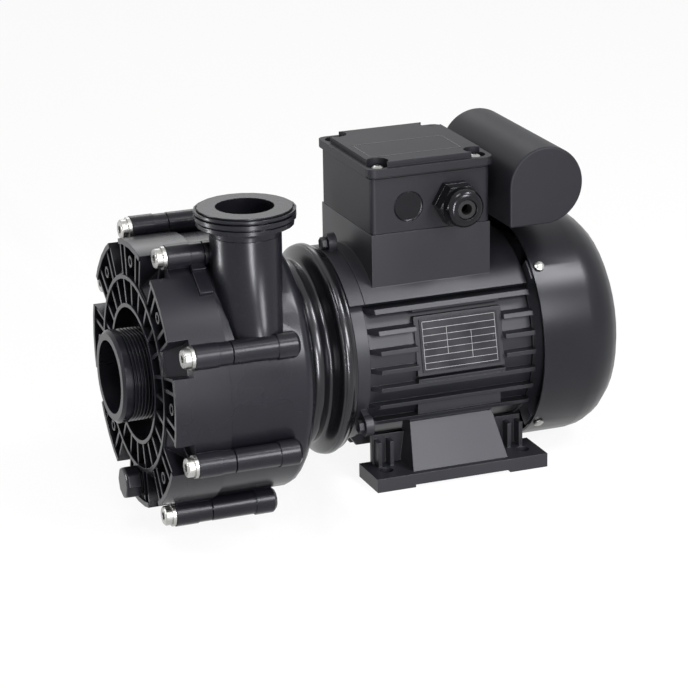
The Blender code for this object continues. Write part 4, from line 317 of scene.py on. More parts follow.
def metal_finish(name, dark, light, rough, stretch):
    """Bare or plated metal with drawn-out tool marks."""
    material, tree, shader, coordinates = new_material(name)
    clouds = noise(tree, coordinates, CLOUD_SCALE)
    marks = noise(tree, coordinates, MARK_SCALE, 2.0, stretch)
    colour = blend_colours(tree, spread(tree, clouds, 0.0, 1.0), dark, light)
    tree.links.new(colour, shader.inputs["Base Color"])
    tree.links.new(spread(tree, marks, *rough), shader.inputs["Roughness"])
    shader.inputs["Metallic"].default_value = 1.0
    raise_grain(tree, shader, marks, MARK_HEIGHT, METAL_EDGE_SOFTNESS)
    return material


def layered_finish(name, dark, light, axis, pitch, rough, metallic, height):
    """Stacked sheets or wound wires: close bands across one axis."""
    material, tree, shader, coordinates = new_material(name)
    bands = tree.nodes.new("ShaderNodeTexWave")
    bands.bands_direction = axis
    bands.inputs["Scale"].default_value = WAVE_LENGTH / pitch
    bands.inputs["Distortion"].default_value = WAVE_DISTORTION
    tree.links.new(coordinates, bands.inputs["Vector"])
    colour = blend_colours(tree, bands.outputs["Fac"], dark, light)
    tree.links.new(colour, shader.inputs["Base Color"])
    patches = spread(tree, noise(tree, coordinates, LAYER_PATCH_SCALE),
                     rough * (1.0 - LAYER_GLOSS_CHANGE), rough * (1.0 + LAYER_GLOSS_CHANGE))
    tree.links.new(patches, shader.inputs["Roughness"])
    shader.inputs["Metallic"].default_value = metallic
    raise_grain(tree, shader, bands.outputs["Fac"], height)
    return material


zinc_steel = metal_finish("zinc_steel", (0.30, 0.30, 0.29), (0.48, 0.475, 0.46),
                          rough=(0.22, 0.42), stretch=(0.1, 1.0, 1.0))
bright_steel = metal_finish("bright_steel", (0.50, 0.51, 0.53), (0.60, 0.61, 0.63),
                            rough=(0.16, 0.30), stretch=(1.0, 0.1, 0.1))
plate_metal = metal_finish("plate_metal", (0.020, 0.020, 0.023), (0.034, 0.034, 0.038),
                           rough=(0.36, 0.48), stretch=(0.06, 1.0, 1.0))
plate_print = metal_finish("plate_print", (0.24, 0.24, 0.25), (0.34, 0.34, 0.35),
                           rough=(0.40, 0.55), stretch=(0.06, 1.0, 1.0))
core_steel = layered_finish("core_steel", (0.16, 0.16, 0.17), (0.34, 0.34, 0.35),
                            axis="X", pitch=0.0010, rough=0.45, metallic=0.9, height=0.00010)
copper_wire = layered_finish("copper_wire", (0.35, 0.12, 0.05), (0.62, 0.26, 0.12),
                             axis="DIAGONAL", pitch=0.0012, rough=0.32, metallic=0.9, height=0.00020)
brown_insulator = grained_finish("brown_insulator", (0.11, 0.045, 0.022), (0.16, 0.065, 0.032),
                                 rough=(0.35, 0.5), grain=700.0, height=0.00003)
white_plastic = grained_finish("white_plastic", (0.62, 0.62, 0.60), (0.70, 0.70, 0.68),
                               rough=(0.30, 0.40), grain=700.0, height=0.00002)
ceramic = grained_finish("ceramic", (0.66, 0.63, 0.57), (0.74, 0.71, 0.65),
                         rough=(0.12, 0.20), grain=500.0, height=0.00001)
print("materials in the file:", len(bpy.data.materials))

# %% [markdown]
# ## Smooth faces on the CAD nodes
# A CAD node arrives as loose triangles, so its round faces show flat facets. Its mesh may not be
# changed, so each node is copied. In the copy the loose corners are merged, flat neighbours are
# joined into one face, sharp edges may be rounded, and the round faces are shaded smooth. The
# Weighted Normal modifier keeps the large flat faces flat beside them. The copy then stands for
# the node and rides on the same body.

# %% A smooth copy of a node
SLOT_FINISHES = {
    "moulded_plastic": moulded_plastic, "motor_paint": motor_paint, "adapter_paint": adapter_paint,
    "cowl_metal": cowl_paint, "zinc_steel": zinc_steel, "bright_steel": bright_steel,
    "core_steel": core_steel, "copper_wire": copper_wire, "rubber": rubber,
    "insulator": brown_insulator, "white_plastic": white_plastic, "ceramic": ceramic,
    "plate_metal": plate_metal,
}
BOX_NODES = ("terminal_box", "terminal_box_lid")
GLAND_NODES = ("gland_body", "gland_nut")
EDGE_ROUNDS = {"near_foot": 0.0009, "far_foot": 0.0009, "terminal_box_lid": 0.0007,
               "gland_nut": 0.0006, "gland_body": 0.0006, "drain_plug": 0.0008}
MERGE_DISTANCE = 0.000002
FLAT_ANGLE = 0.3
SLOT_OF = {entry["node"]: entry["material_slot"] for entry in frame["record"]["subparts"]}


def finish_of(name):
    """The finish of a node: the box and the gland have their own, the rest follow the slot."""
    if name in BOX_NODES:
        return box_plastic
    if name in GLAND_NODES:
        return gloss_black_and_shade
    return SLOT_FINISHES[SLOT_OF[name]]


def round_edges(piece, width, angle=40.0, segments=2):
    """Round every edge sharper than an angle with a Bevel modifier, and apply it."""
    bevel = piece.modifiers.new("rounding", "BEVEL")
    bevel.width = width
    bevel.segments = segments
    bevel.limit_method = "ANGLE"
    bevel.angle_limit = radians(angle)
    bpy.ops.object.modifier_apply(modifier=bevel.name)


def keep_flats_flat(piece):
    """Weight the shading by face area, so that big flat faces look flat."""
    weights = piece.modifiers.new("weights", "WEIGHTED_NORMAL")
    weights.keep_sharp = True
    bpy.ops.object.modifier_apply(modifier=weights.name)


def smooth_copy(name):
    """Copy a node, merge it, round and smooth it, and let the copy stand for the node."""
    node = nodes[name]
    piece = copy_of(node)
    del piece["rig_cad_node"]
    piece.parent = None
    bpy.ops.object.mode_set(mode="EDIT")
    bpy.ops.mesh.select_all(action="SELECT")
    bpy.ops.mesh.remove_doubles(threshold=MERGE_DISTANCE)
    bpy.ops.mesh.dissolve_limited(angle_limit=radians(FLAT_ANGLE))
    bpy.ops.mesh.customdata_custom_splitnormals_clear()
    bpy.ops.object.mode_set(mode="OBJECT")
    if name in EDGE_ROUNDS:
        round_edges(piece, EDGE_ROUNDS[name])
    settle(piece, name + "_smooth")
    keep_flats_flat(piece)
    piece.data.materials.clear()
    piece.data.materials.append(finish_of(name))
    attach(piece, node["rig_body"])
    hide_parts(name)
    return piece


# %% [markdown]
# Every node is copied this way but two. The adapter and the capacitor cover are modelled again
# below, because their solids shade unevenly.

# %% Copy the nodes
REMODELLED = ("motor_adapter", "capacitor_cover")
smooth = {name: smooth_copy(name) for name in SLOT_OF if name not in REMODELLED}
print("smooth copies:", len(smooth))

# %% [markdown]
# ## Turned pieces
# The adapter, the dish in the blank entry and the rivets are round, and the strap follows a round
# wall. Half an outline is drawn point by point with extrude, spun round the X axis through a whole
# turn or part of one, and closed by merging the doubled points. The finished turning is then moved
# to its place.

# %% Helpers for turned pieces
SHAFT_HEIGHT = 0.080
STARTER_SIZE = 0.001
SPIN_MERGE = 0.000004


def draw_line(outline):
    """Draw connected points, given as (along, out) pairs, in the XZ plane."""
    start_clean()
    bpy.ops.mesh.primitive_plane_add(size=STARTER_SIZE, location=(0.0, 0.0, 0.0))
    bpy.ops.object.mode_set(mode="EDIT")
    bpy.ops.mesh.select_mode(type="VERT")
    bpy.ops.mesh.select_all(action="SELECT")
    bpy.ops.mesh.merge(type="CENTER")
    bpy.ops.transform.translate(value=(outline[0][0], 0.0, outline[0][1]))
    for (along_a, out_a), (along_b, out_b) in zip(outline, outline[1:]):
        step = (along_b - along_a, 0.0, out_b - out_a)
        extrude(*step)
    return bpy.context.object


def turn(outline, steps, angle=tau):
    """Spin a drawn outline round the X axis at the origin."""
    piece = draw_line(outline)
    bpy.ops.mesh.select_all(action="SELECT")
    bpy.ops.mesh.spin(steps=steps, angle=angle, center=(0.0, 0.0, 0.0), axis=(1.0, 0.0, 0.0))
    bpy.ops.mesh.select_all(action="SELECT")
    bpy.ops.mesh.remove_doubles(threshold=SPIN_MERGE)
    leave_outward()
    return piece


def ease(start, end, count=8):
    """Points that leave one place and reach the next without a corner."""
    shares = [(1.0 - cos(pi * number / count)) / 2.0 for number in range(count + 1)]
    return [(start[0] + (end[0] - start[0]) * number / count, start[1] + (end[1] - start[1]) * share)
            for number, share in enumerate(shares)]


def bow(centre, reach, height, start, end, count=8):
    """Points on part of an ellipse, between two angles in degrees."""
    angles = [radians(start + (end - start) * number / count) for number in range(count + 1)]
    return [(centre[0] + reach * cos(angle), centre[1] + height * sin(angle)) for angle in angles]


def finish_piece(piece, name, finish, body, smooth_angle=35.0):
    """Settle a new piece, give it its finish, and let it ride on its body."""
    settle(piece, name, smooth_angle)
    keep_flats_flat(piece)
    piece.data.materials.append(finish)
    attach(piece, body)
    return piece


# %% [markdown]
# ### The adapter
# The glossy casting between motor and pump has two rolls with a deep waist between them, like a
# vase. The eased stretches join the rolls without a corner, because a corner would break the long
# highlights that run round it. Radii are measured from the shaft, and the places of the waist, the
# shoulder and the crest from the front face.

# %% Adapter
adapter_low, adapter_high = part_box("motor_adapter")
FRONT = adapter_low.x
REAR = adapter_high.x
CROWN = adapter_high.z - SHAFT_HEIGHT
BORE_RADIUS = 0.0220
HOLLOW_RADIUS = 0.0500
WALL_END = 0.0060
ROLL_RADIUS = 0.0655
ROLL_DEPTH = 0.0070
ROLL_HEIGHT = 0.0075
ROLL_END = 0.0082
WAIST_RADIUS = 0.0622
WAIST_START = 0.0150
WAIST_END = 0.0156
SHOULDER_RADIUS = 0.0714
SHOULDER_PLACE = 0.0226
CREST_PLACE = 0.0252
CREST_DEPTH = 0.0024
CREST_HEIGHT = 0.0016
CREST_END = 0.0262
REAR_RADIUS = 0.0700
REAR_FLAT = 0.0016
REAR_ROUND = 0.0014
ADAPTER_STEPS = 128

line = [(FRONT, BORE_RADIUS)]
line += bow((FRONT + ROLL_DEPTH, ROLL_RADIUS - ROLL_HEIGHT), ROLL_DEPTH, ROLL_HEIGHT, 180.0, 90.0)
line += ease((FRONT + ROLL_END, ROLL_RADIUS), (FRONT + WAIST_START, WAIST_RADIUS))
line += ease((FRONT + WAIST_END, WAIST_RADIUS), (FRONT + SHOULDER_PLACE, SHOULDER_RADIUS), count=10)
line += bow((FRONT + CREST_PLACE, CROWN - CREST_HEIGHT), CREST_DEPTH, CREST_HEIGHT, 160.0, 90.0, count=4)
line += ease((FRONT + CREST_END, CROWN), (REAR - REAR_FLAT, REAR_RADIUS))
line += bow((REAR - REAR_ROUND, REAR_RADIUS - REAR_ROUND), REAR_ROUND, REAR_ROUND, 80.0, 0.0, count=4)
line += [(REAR, HOLLOW_RADIUS), (FRONT + WALL_END, HOLLOW_RADIUS)]
line += [(FRONT + WALL_END, BORE_RADIUS), (FRONT, BORE_RADIUS)]
adapter = turn(line, ADAPTER_STEPS)
adapter.location.z = SHAFT_HEIGHT
finish_piece(adapter, "adapter_casting", adapter_paint, "pump")
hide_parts("motor_adapter")
print("adapter faces:", len(adapter.data.polygons))

# %% [markdown]
# ### The capacitor cover
# The cover is a long shell behind the terminal box: round above, with a square corner below at the
# front. Its end outline is drawn, filled and extruded across the pump, and the edges of both ends
# are rounded. A short neck leads to the box wall.

# %% Capacitor cover
cover_low, cover_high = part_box("capacitor_cover")
COVER_AXIS_X = 0.0660
COVER_RADIUS = cover_high.x - COVER_AXIS_X
COVER_AXIS_Z = cover_high.z - COVER_RADIUS
NECK_HALF_WIDTH = 0.0200
NECK_HALF_HEIGHT = 0.0110
NECK_Z = 0.1875
NECK_OVERLAP = 0.001
NECK_EDGE_ROUND = 0.0012
COVER_STEPS = 90
COVER_EDGE_ROUND = 0.0014
COVER_SHARP_ANGLE = 60.0
LINE_MERGE = 0.00001

cover_outline = bow((0.0, 0.0), COVER_RADIUS, COVER_RADIUS, 180.0, -90.0, COVER_STEPS)
capacitor_shell = draw_line(cover_outline + [(-COVER_RADIUS, -COVER_RADIUS), cover_outline[0]])
bpy.ops.mesh.select_all(action="SELECT")
bpy.ops.mesh.remove_doubles(threshold=LINE_MERGE)
bpy.ops.mesh.select_all(action="SELECT")
bpy.ops.mesh.edge_face_add()
cover_length = cover_high.y - cover_low.y
extrude(0.0, cover_length, 0.0)
leave_outward()
round_edges(capacitor_shell, COVER_EDGE_ROUND, COVER_SHARP_ANGLE, segments=3)
capacitor_shell.location = (COVER_AXIS_X, cover_low.y, COVER_AXIS_Z)
finish_piece(capacitor_shell, "capacitor_shell", box_plastic, "pump")
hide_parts("capacitor_cover")

start_clean()
bpy.ops.mesh.primitive_cube_add(size=1.0)
neck = bpy.context.object
neck_end = COVER_AXIS_X - COVER_RADIUS + NECK_OVERLAP
neck.scale = (neck_end - cover_low.x, NECK_HALF_WIDTH * 2, NECK_HALF_HEIGHT * 2)
neck.location = ((neck_end + cover_low.x) / 2, 0.0, NECK_Z)
bpy.ops.object.transform_apply(location=True, rotation=True, scale=True)
round_edges(neck, NECK_EDGE_ROUND)
finish_piece(neck, "capacitor_neck", box_plastic, "pump")
print("capacitor cover length:", round(cover_length, 4), "faces:", len(capacitor_shell.data.polygons))

# %% [markdown]
# ### The root of the outlet pipe
# The outlet pipe leaves the round casing on its near side and widens towards the front as it goes
# down, so that it looks straight from the front and runs out in the casing wall. The root starts as
# a ring of points as wide as the pipe, is extruded down in steps, and each step is stretched.

# %% Outlet root
PIPE_X = -0.1408
PIPE_Y = -0.0500
PIPE_RADIUS = 0.0236
PIPE_WIDTH_LOSS = 0.14
PIPE_STEPS = 96
ROOT_SMOOTH_ANGLE = 50.0
# Each level is a height and how far the root leans to the near side there.
ROOT_LEVELS = ((0.1830, 0.0000), (0.1700, 0.0012), (0.1560, 0.0042), (0.1430, 0.0085),
               (0.1320, 0.0125), (0.1220, 0.0155), (0.1120, 0.0165))

start_clean()
bpy.ops.mesh.primitive_circle_add(vertices=PIPE_STEPS, radius=PIPE_RADIUS, fill_type="NGON",
                                  location=(PIPE_X, PIPE_Y, ROOT_LEVELS[0][0]))
root = bpy.context.object
bpy.ops.object.transform_apply(location=True, rotation=True, scale=True)
bpy.ops.object.mode_set(mode="EDIT")
bpy.ops.mesh.select_mode(type="FACE")
bpy.ops.mesh.select_all(action="SELECT")
for (height_a, lean_a), (height_b, lean_b) in zip(ROOT_LEVELS, ROOT_LEVELS[1:]):
    extrude(0.0, 0.0, height_b - height_a)
    deepen = (PIPE_RADIUS + lean_b / 2) / (PIPE_RADIUS + lean_a / 2)
    bpy.ops.transform.resize(value=(1.0 - (lean_b - lean_a) / PIPE_WIDTH_LOSS, deepen, 1.0),
                             center_override=(PIPE_X - PIPE_RADIUS, PIPE_Y, height_b))
    bpy.ops.transform.translate(value=(0.0, -(lean_b - lean_a) / 2, 0.0))
leave_outward()
finish_piece(root, "outlet_root", moulded_plastic, "pump", ROOT_SMOOTH_ANGLE)
print("outlet root faces:", len(root.data.polygons))

# %% [markdown]
# ### The thread on the inlet
# A union screws on the inlet, whose thread is a ridge that climbs round the tube. The outline of the
# ridge is drawn once and swept by a Screw modifier, which turns it and moves it on by one pitch for
# each turn. Mould halves leave a flat along the top and the bottom, made here with two bisects.

# %% Inlet thread
THREAD_START_X = -0.2132
THREAD_PITCH = 0.0023
THREAD_TURNS = 9
THREAD_CREST = 0.0310
THREAD_FOOT = 0.0296
THREAD_FLAT = 0.0300
THREAD_STEPS = 72
THREAD_SMOOTH_ANGLE = 25.0
HALF_BASE = THREAD_PITCH * 0.47
HALF_CREST = 0.0002

thread = draw_line([(-HALF_BASE, THREAD_FOOT), (-HALF_CREST, THREAD_CREST), (HALF_CREST, THREAD_CREST),
                    (HALF_BASE, THREAD_FOOT), (-HALF_BASE, THREAD_FOOT)])
bpy.ops.mesh.select_all(action="SELECT")
bpy.ops.mesh.remove_doubles(threshold=LINE_MERGE)
bpy.ops.object.mode_set(mode="OBJECT")
sweep = thread.modifiers.new("sweep", "SCREW")
sweep.axis = "X"
sweep.angle = tau
sweep.screw_offset = THREAD_PITCH
sweep.iterations = THREAD_TURNS
sweep.steps = THREAD_STEPS
sweep.render_steps = THREAD_STEPS
bpy.ops.object.modifier_apply(modifier=sweep.name)
bpy.ops.object.mode_set(mode="EDIT")
bpy.ops.mesh.select_all(action="SELECT")
bpy.ops.mesh.fill_holes(sides=6)
bpy.ops.mesh.normals_make_consistent(inside=False)
for way in (1.0, -1.0):
    bpy.ops.mesh.select_all(action="SELECT")
    bpy.ops.mesh.bisect(plane_co=(0.0, 0.0, way * THREAD_FLAT), plane_no=(0.0, 0.0, way),
                        use_fill=True, clear_outer=True)
bpy.ops.object.mode_set(mode="OBJECT")
thread.location = (THREAD_START_X, 0.0, SHAFT_HEIGHT)
finish_piece(thread, "inlet_thread", moulded_plastic, "pump", THREAD_SMOOTH_ANGLE)
print("thread faces:", len(thread.data.polygons))

# %% [markdown]
# ### Heads of the shield's bolts
# Three bolts hold the adapter to the motor through ears on the end shield. Each head is a hexagon
# with rounded edges and a dished face. One is modelled, from a six-sided cylinder whose front face
# is inset and pushed back, and it is copied to the three ears.

# %% Shield bolts
EAR_ANGLES = (-30.0, 90.0, 210.0)
EAR_CIRCLE = 0.0730
EAR_SEAT_X = -0.0668
HEAD_HEIGHT = 0.0036
HEAD_RADIUS = 0.0046
HEAD_RIM = HEAD_RADIUS * 0.28
HEAD_DISH = HEAD_HEIGHT * 0.14
HEAD_EDGE_ROUND = HEAD_HEIGHT * 0.12
HEAD_SHARP_ANGLE = 25.0
HEAD_TURN = 15.0
FACES_FRONT = -0.9

start_clean()
bpy.ops.mesh.primitive_cylinder_add(vertices=6, radius=HEAD_RADIUS, depth=HEAD_HEIGHT,
                                    location=(-HEAD_HEIGHT / 2, 0.0, 0.0), rotation=(0.0, pi / 2, 0.0))
first_head = bpy.context.object
bpy.ops.object.transform_apply(location=True, rotation=True, scale=True)
pick(first_head, "FACE", lambda centre, normal: normal.x < FACES_FRONT)
bpy.ops.mesh.inset(thickness=HEAD_RIM)
extrude(HEAD_DISH, 0.0, 0.0)
bpy.ops.object.mode_set(mode="OBJECT")
round_edges(first_head, HEAD_EDGE_ROUND, HEAD_SHARP_ANGLE)
first_head.rotation_euler.x = radians(HEAD_TURN)
for number, angle in enumerate(EAR_ANGLES, 1):
    head = copy_of(first_head)
    up = EAR_CIRCLE * sin(radians(angle))
    head.location = (EAR_SEAT_X, -EAR_CIRCLE * cos(radians(angle)), SHAFT_HEIGHT + up)
    finish_piece(head, f"shield_bolt_head_{number}", motor_paint, "pump")
bpy.data.objects.remove(first_head)
print("bolt heads:", len(EAR_ANGLES))

# %% [markdown]
# ### The strap below the second bolt
# A short strap hangs from the second bolt along the rear edge of the skirt, and is thicker where it
# starts. Both lengths follow the round skirt, so a small rectangle is spun through part of a turn
# for each, and their edges are rounded.

# %% Strap
STRAP_FRONT_X = -0.1768
STRAP_REAR_X = -0.1670
STRAP_INNER = 0.0880
STRAP_STEPS = 10
STRAP_EDGE_ROUND = 0.0007
# Each length has its outer radius and the angles where it starts and ends.
STRAP_SPANS = (("skirt_strap", 0.0931, 66.0, 48.5), ("skirt_pad", 0.0950, 66.0, 59.5))

for name, outer, top_angle, low_angle in STRAP_SPANS:
    strap = turn([(STRAP_FRONT_X, STRAP_INNER), (STRAP_FRONT_X, outer), (STRAP_REAR_X, outer),
                  (STRAP_REAR_X, STRAP_INNER), (STRAP_FRONT_X, STRAP_INNER)], STRAP_STEPS,
                 radians(top_angle - low_angle))
    bpy.ops.object.mode_set(mode="EDIT")
    bpy.ops.mesh.select_all(action="SELECT")
    bpy.ops.mesh.fill_holes(sides=4)
    leave_outward()
    round_edges(strap, STRAP_EDGE_ROUND)
    strap.location.z = SHAFT_HEIGHT
    strap.rotation_euler.x = radians(90.0 - low_angle)
    finish_piece(strap, name, moulded_plastic, "pump")
    points = [vert.co for vert in strap.data.vertices]
    print(name, "reaches y", round(min(p.y for p in points), 4), "z", round(max(p.z for p in points), 4))

# %% [markdown]
# ### The blank entry
# A second cable entry is closed with a shiny dish that sits in the shallow recess of the box wall.
# It is turned from a half outline and laid against the near wall.

# %% Entry dish
ENTRY_X = -0.0250
ENTRY_Z = 0.1855
ENTRY_WALL_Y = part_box("terminal_box")[0].y
ENTRY_SINK = 0.0010
DISH_RADIUS = 0.0102
DISH_STEPS = 64
# The hollow is given as (depth in the wall, distance from the middle), and its rim is a bow.
DISH_HOLLOW = [(0.0005, 0.0), (0.00055, 0.0030), (0.00080, 0.0062), (0.00082, 0.0078)]
RIM_CENTRE = (0.0001, 0.0089)
RIM_DEPTH = 0.0006
RIM_WIDTH = 0.0011

dish = turn([(ENTRY_SINK, 0.0)] + DISH_HOLLOW
            + bow(RIM_CENTRE, RIM_DEPTH, RIM_WIDTH, 0.0, 90.0, count=5)
            + [(0.0000, DISH_RADIUS), (ENTRY_SINK, DISH_RADIUS), (ENTRY_SINK, 0.0)], DISH_STEPS)
dish.rotation_euler.z = pi / 2
dish.location = (ENTRY_X, ENTRY_WALL_Y, ENTRY_Z)
finish_piece(dish, "entry_dish", gloss_black_and_shade, "pump")
print("dish faces:", len(dish.data.polygons))

# %% [markdown]
# ### The rating plate
# The plate is a dark sheet with a printed form: a frame and lines between its fields. Every printed
# line is a thin raised bar. One bar is modelled, and the lines are copies of it, stretched to their
# lengths and joined.

# %% Plate lines
PLATE_ANGLE = 12.0
PLATE_FACE = 0.06412
PLATE_CENTRE_X = 0.0040
BAR_HEIGHT = 0.00008
PRINT_WIDTH = 0.00028
PRINT_HALF_LENGTH = 0.0262
PRINT_HALF_HEIGHT = 0.0160
RULE_HEIGHTS = (0.0112, 0.0066, 0.0020, -0.0026, -0.0072, -0.0118)
# Each divider is a place along the plate, its upper end and its lower end.
DIVIDERS = ((-0.0090, 0.0112, -0.0072), (0.0085, 0.0066, -0.0118))

start_clean()
bpy.ops.mesh.primitive_plane_add(size=1.0, rotation=(pi / 2, 0.0, 0.0))
first_bar = bpy.context.object
bpy.ops.object.transform_apply(location=True, rotation=True, scale=True)
bpy.ops.object.mode_set(mode="EDIT")
bpy.ops.mesh.select_all(action="SELECT")
extrude(0.0, -BAR_HEIGHT, 0.0)
leave_outward()


def print_and_shade_bar(low, high):
    """A copy of the bar between two corners, given as (along, up) in its plane; it draws print and
    painted shade.
    """
    bar = copy_of(first_bar)
    bar.scale = (high[0] - low[0], 1.0, high[1] - low[1])
    bar.location = ((low[0] + high[0]) / 2, 0.0, (low[1] + high[1]) / 2)
    bpy.ops.object.transform_apply(location=True, rotation=True, scale=True)
    return bar


def join_pieces(pieces):
    """Join several pieces into the first."""
    start_clean()
    for piece in pieces:
        piece.select_set(True)
    bpy.context.view_layer.objects.active = pieces[0]
    bpy.ops.object.join()
    return pieces[0]


def lay_on_plate(piece, along=0.0):
    """Bring a piece out to the plate's face, tilt it with the plate and move it along."""
    piece.location.y = -PLATE_FACE
    make_active(piece)
    bpy.ops.object.transform_apply(location=True, rotation=True, scale=True)
    piece.rotation_euler.x = radians(-PLATE_ANGLE)
    piece.location = (PLATE_CENTRE_X + along, 0.0, SHAFT_HEIGHT)


half_line = PRINT_WIDTH / 2
spans = [((-PRINT_HALF_LENGTH, height - half_line), (PRINT_HALF_LENGTH, height + half_line))
         for height in RULE_HEIGHTS + (PRINT_HALF_HEIGHT, -PRINT_HALF_HEIGHT)]
spans += [((along - half_line, low), (along + half_line, high)) for along, high, low in DIVIDERS]
spans += [((side * PRINT_HALF_LENGTH - half_line, -PRINT_HALF_HEIGHT - half_line),
           (side * PRINT_HALF_LENGTH + half_line, PRINT_HALF_HEIGHT + half_line)) for side in (-1, 1)]
rules = join_pieces([print_and_shade_bar(low, high) for low, high in spans])
lay_on_plate(rules)
finish_piece(rules, "plate_rules", plate_print, "pump")
print("printed bars:", len(spans))

# %% [markdown]
# ### The rivets of the plate
# Two small rivets with round heads hold the plate to its pad. One is turned, and both are copies.

# %% Plate rivets
RIVET_RADIUS = 0.0013
RIVET_HEIGHT = 0.0007
RIVET_SPREAD = 0.0244
RIVET_STEPS = 24

rivet_head = bow((0.0, 0.0), RIVET_HEIGHT, RIVET_RADIUS, 90.0, 0.0, count=6)
first_rivet = turn([(0.0, 0.0), (0.0, RIVET_RADIUS)] + rivet_head, RIVET_STEPS)
first_rivet.rotation_euler.z = -pi / 2
for number, side in enumerate((-1, 1), 1):
    rivet = copy_of(first_rivet)
    lay_on_plate(rivet, side * RIVET_SPREAD)
    finish_piece(rivet, f"plate_rivet_{number}", motor_paint, "pump")
bpy.data.objects.remove(first_rivet)
print("rivet faces:", len(rivet.data.polygons))

# %% [markdown]
# ### The painted shade of the groove on the lid
# The moulded lid has a shallow groove in the shape of a rectangle. Its shade is painted as four
# thin dark bars, copies of the plate's bar laid flat on the lid and joined, and they rise with the lid.

# %% Lid groove shade
LID_FIELD_LOW = (-0.0450, -0.0290)
LID_FIELD_HIGH = (0.0200, 0.0050)
LID_LINE_WIDTH = 0.0008

low_x, low_y = LID_FIELD_LOW
high_x, high_y = LID_FIELD_HIGH
sides = [print_and_shade_bar((low_x, low_y), (high_x, low_y + LID_LINE_WIDTH)),
         print_and_shade_bar((low_x, high_y - LID_LINE_WIDTH), (high_x, high_y)),
         print_and_shade_bar((low_x, low_y), (low_x + LID_LINE_WIDTH, high_y)),
         print_and_shade_bar((high_x - LID_LINE_WIDTH, low_y), (high_x, high_y))]
lid_groove_shade = join_pieces(sides)
lid_groove_shade.rotation_euler.x = -pi / 2
lid_groove_shade.location.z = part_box("terminal_box_lid")[1].z
# The dark finish on these bars is painted shade of the lid's groove.
finish_piece(lid_groove_shade, "lid_groove_shade", gloss_black_and_shade, "lid")
print("lid groove shade height:", round(lid_groove_shade.data.vertices[0].co.z, 4))

# %% [markdown]
# ### The painted shade in the lid screw recesses
# The four lid screws are driven with a cross-tip screwdriver. The shade in each cross recess is painted
# as two dark bars crossing each other on the head; they are made once and copied to every head.

# %% Painted shade of the screw recesses
RECESS_HALF_LENGTH = 0.0017
RECESS_HALF_WIDTH = 0.00042
RECESS_TURN = 25.0
LID_SCREW_COUNT = 4

cross = join_pieces([
    print_and_shade_bar((-RECESS_HALF_LENGTH, -RECESS_HALF_WIDTH), (RECESS_HALF_LENGTH, RECESS_HALF_WIDTH)),
    print_and_shade_bar((-RECESS_HALF_WIDTH, -RECESS_HALF_LENGTH), (RECESS_HALF_WIDTH, RECESS_HALF_LENGTH))])
cross.rotation_euler = (-pi / 2, 0.0, radians(RECESS_TURN))
for number in range(1, LID_SCREW_COUNT + 1):
    recess = copy_of(cross)
    screw_low, screw_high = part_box(f"lid_screw_{number}")
    recess.location = ((screw_low.x + screw_high.x) / 2, (screw_low.y + screw_high.y) / 2, screw_high.z)
    # Two dark bars: painted shade of the cross recess in the screw head.
    finish_piece(recess, f"lid_screw_recess_shade_{number}", gloss_black_and_shade, "lid")
bpy.data.objects.remove(cross)
bpy.data.objects.remove(first_bar)
print("lid screw heads reach z", round(screw_high.z, 4))

# %% [markdown]
# ## The finish of the floor
# The floor is plain and pale. Where the camera, a gloss or a glass looks at it, it leans on white,
# so the background is white without more light on the pump, and the floor still takes the soft
# shadow.

# %% Light path shares
def seen_or_mirrored(tree, share):
    """A number that is share for camera, glossy and transmission rays, and nought for the rest."""
    path = tree.nodes.new("ShaderNodeLightPath")
    total = path.outputs["Is Camera Ray"]
    for ray in ("Is Glossy Ray", "Is Transmission Ray"):
        adder = tree.nodes.new("ShaderNodeMath")
        adder.operation = "ADD"
        adder.use_clamp = True
        tree.links.new(total, adder.inputs[0])
        tree.links.new(path.outputs[ray], adder.inputs[1])
        total = adder.outputs["Value"]
    scaled = tree.nodes.new("ShaderNodeMath")
    scaled.operation = "MULTIPLY"
    scaled.inputs[1].default_value = share
    tree.links.new(total, scaled.inputs[0])
    return scaled.outputs["Value"]


def whiten(tree, share, plain, white, surface):
    """Mix a white shader in for the rays that see or mirror it, and keep the plain one for others."""
    mixer = tree.nodes.new("ShaderNodeMixShader")
    tree.links.new(seen_or_mirrored(tree, share), mixer.inputs["Fac"])
    tree.links.new(plain, mixer.inputs[1])
    tree.links.new(white, mixer.inputs[2])
    tree.links.new(mixer.outputs["Shader"], surface)


# %% Floor finish
PURE_WHITE = (1.0, 1.0, 1.0, 1.0)
FLOOR_WHITE_SHARE = 0.90
FLOOR_COLOUR = (0.94, 0.94, 0.94, 1.0)
FLOOR_PATCH_SCALE = 3.0
FLOOR_ROUGH_LOW = 0.75
FLOOR_ROUGH_HIGH = 0.85
FLOOR_SPECULAR = 0.1

floor_finish, tree, shader, coordinates = new_material("floor_finish")
shader.inputs["Base Color"].default_value = FLOOR_COLOUR
patches = noise(tree, coordinates, FLOOR_PATCH_SCALE)
floor_gloss = spread(tree, patches, FLOOR_ROUGH_LOW, FLOOR_ROUGH_HIGH)
tree.links.new(floor_gloss, shader.inputs["Roughness"])
shader.inputs["Specular IOR Level"].default_value = FLOOR_SPECULAR
glow = tree.nodes.new("ShaderNodeEmission")
glow.inputs["Color"].default_value = PURE_WHITE
whiten(tree, FLOOR_WHITE_SHARE, shader.outputs["BSDF"], glow.outputs["Emission"],
       tree.nodes["Material Output"].inputs["Surface"])
floor.data.materials.append(floor_finish)
print("floor finish nodes:", len(tree.nodes))

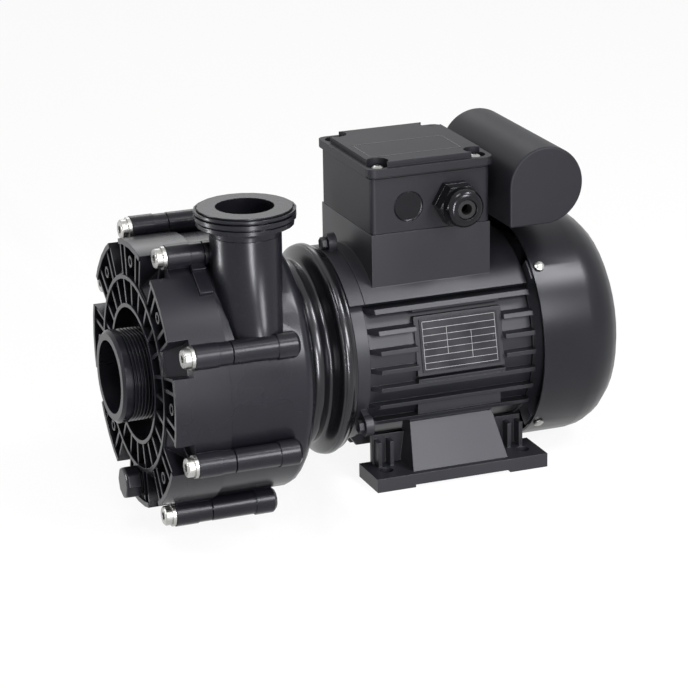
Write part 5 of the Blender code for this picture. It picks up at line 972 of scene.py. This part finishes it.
# %% [markdown]
# ## World and lamps
# The world is white to the camera and to mirrors, and gives only a weak fill to everything else. Six
# soft lamps model the round forms. Two narrow strips draw the highlights of the outlet pipe, one
# almost in front and one on the left. A taller one at the front right does the same for the drum,
# and a broad one high on the right lights the cowl. The key lamp stands high on the left, and a
# weak one behind keeps the rear faces from going black.

# %% World and lamps
WORLD_FILL = 0.20

world = bpy.data.worlds.new("studio_world")
bpy.context.scene.world = world
world.use_nodes = True
tree = world.node_tree
fill = tree.nodes["Background"]
fill.inputs["Color"].default_value = PURE_WHITE
fill.inputs["Strength"].default_value = WORLD_FILL
white = tree.nodes.new("ShaderNodeBackground")
white.inputs["Color"].default_value = PURE_WHITE
whiten(tree, 1.0, fill.outputs["Background"], white.outputs["Background"],
       tree.nodes["World Output"].inputs["Surface"])


def softbox(name, azimuth, elevation, distance, width, height, brightness):
    """A rectangular lamp that faces the pump; brightness is how white its own face is."""
    lamp_data = bpy.data.lights.new(name, "AREA")
    lamp_data.shape = "RECTANGLE"
    lamp_data.size = width
    lamp_data.size_y = height
    lamp_data.energy = brightness * width * height * pi
    lamp = bpy.data.objects.new(name, lamp_data)
    bpy.context.scene.collection.objects.link(lamp)
    side = radians(azimuth)
    rise = radians(elevation)
    away = Vector((sin(side) * cos(rise), -cos(side) * cos(rise), sin(rise)))
    lamp.location = VIEW_TARGET + away * distance
    lamp.rotation_euler = (-away).to_track_quat("-Z", "Y").to_euler()
    lamp.visible_camera = False


# Each lamp has its azimuth and elevation in degrees, its distance, width and height in metres, and
# the brightness of its face. Azimuth nought is straight in front of the near side.
LAMPS = (("pipe_strip", -10.0, 4.0, 0.75, 0.075, 0.34, 54.0),
         ("drum_strip", 20.0, 25.0, 1.5, 0.32, 0.50, 26.0),
         ("left_strip", -106.0, 3.0, 0.80, 0.08, 0.30, 54.0),
         ("cowl_light", 46.0, 50.0, 1.9, 0.50, 0.46, 30.0),
         ("key_light", -40.0, 64.0, 2.2, 0.60, 0.60, 16.0),
         ("rear_light", 168.0, 34.0, 2.0, 0.50, 0.50, 3.5))
for lamp_values in LAMPS:
    softbox(*lamp_values)
print("lamps:", len(LAMPS))
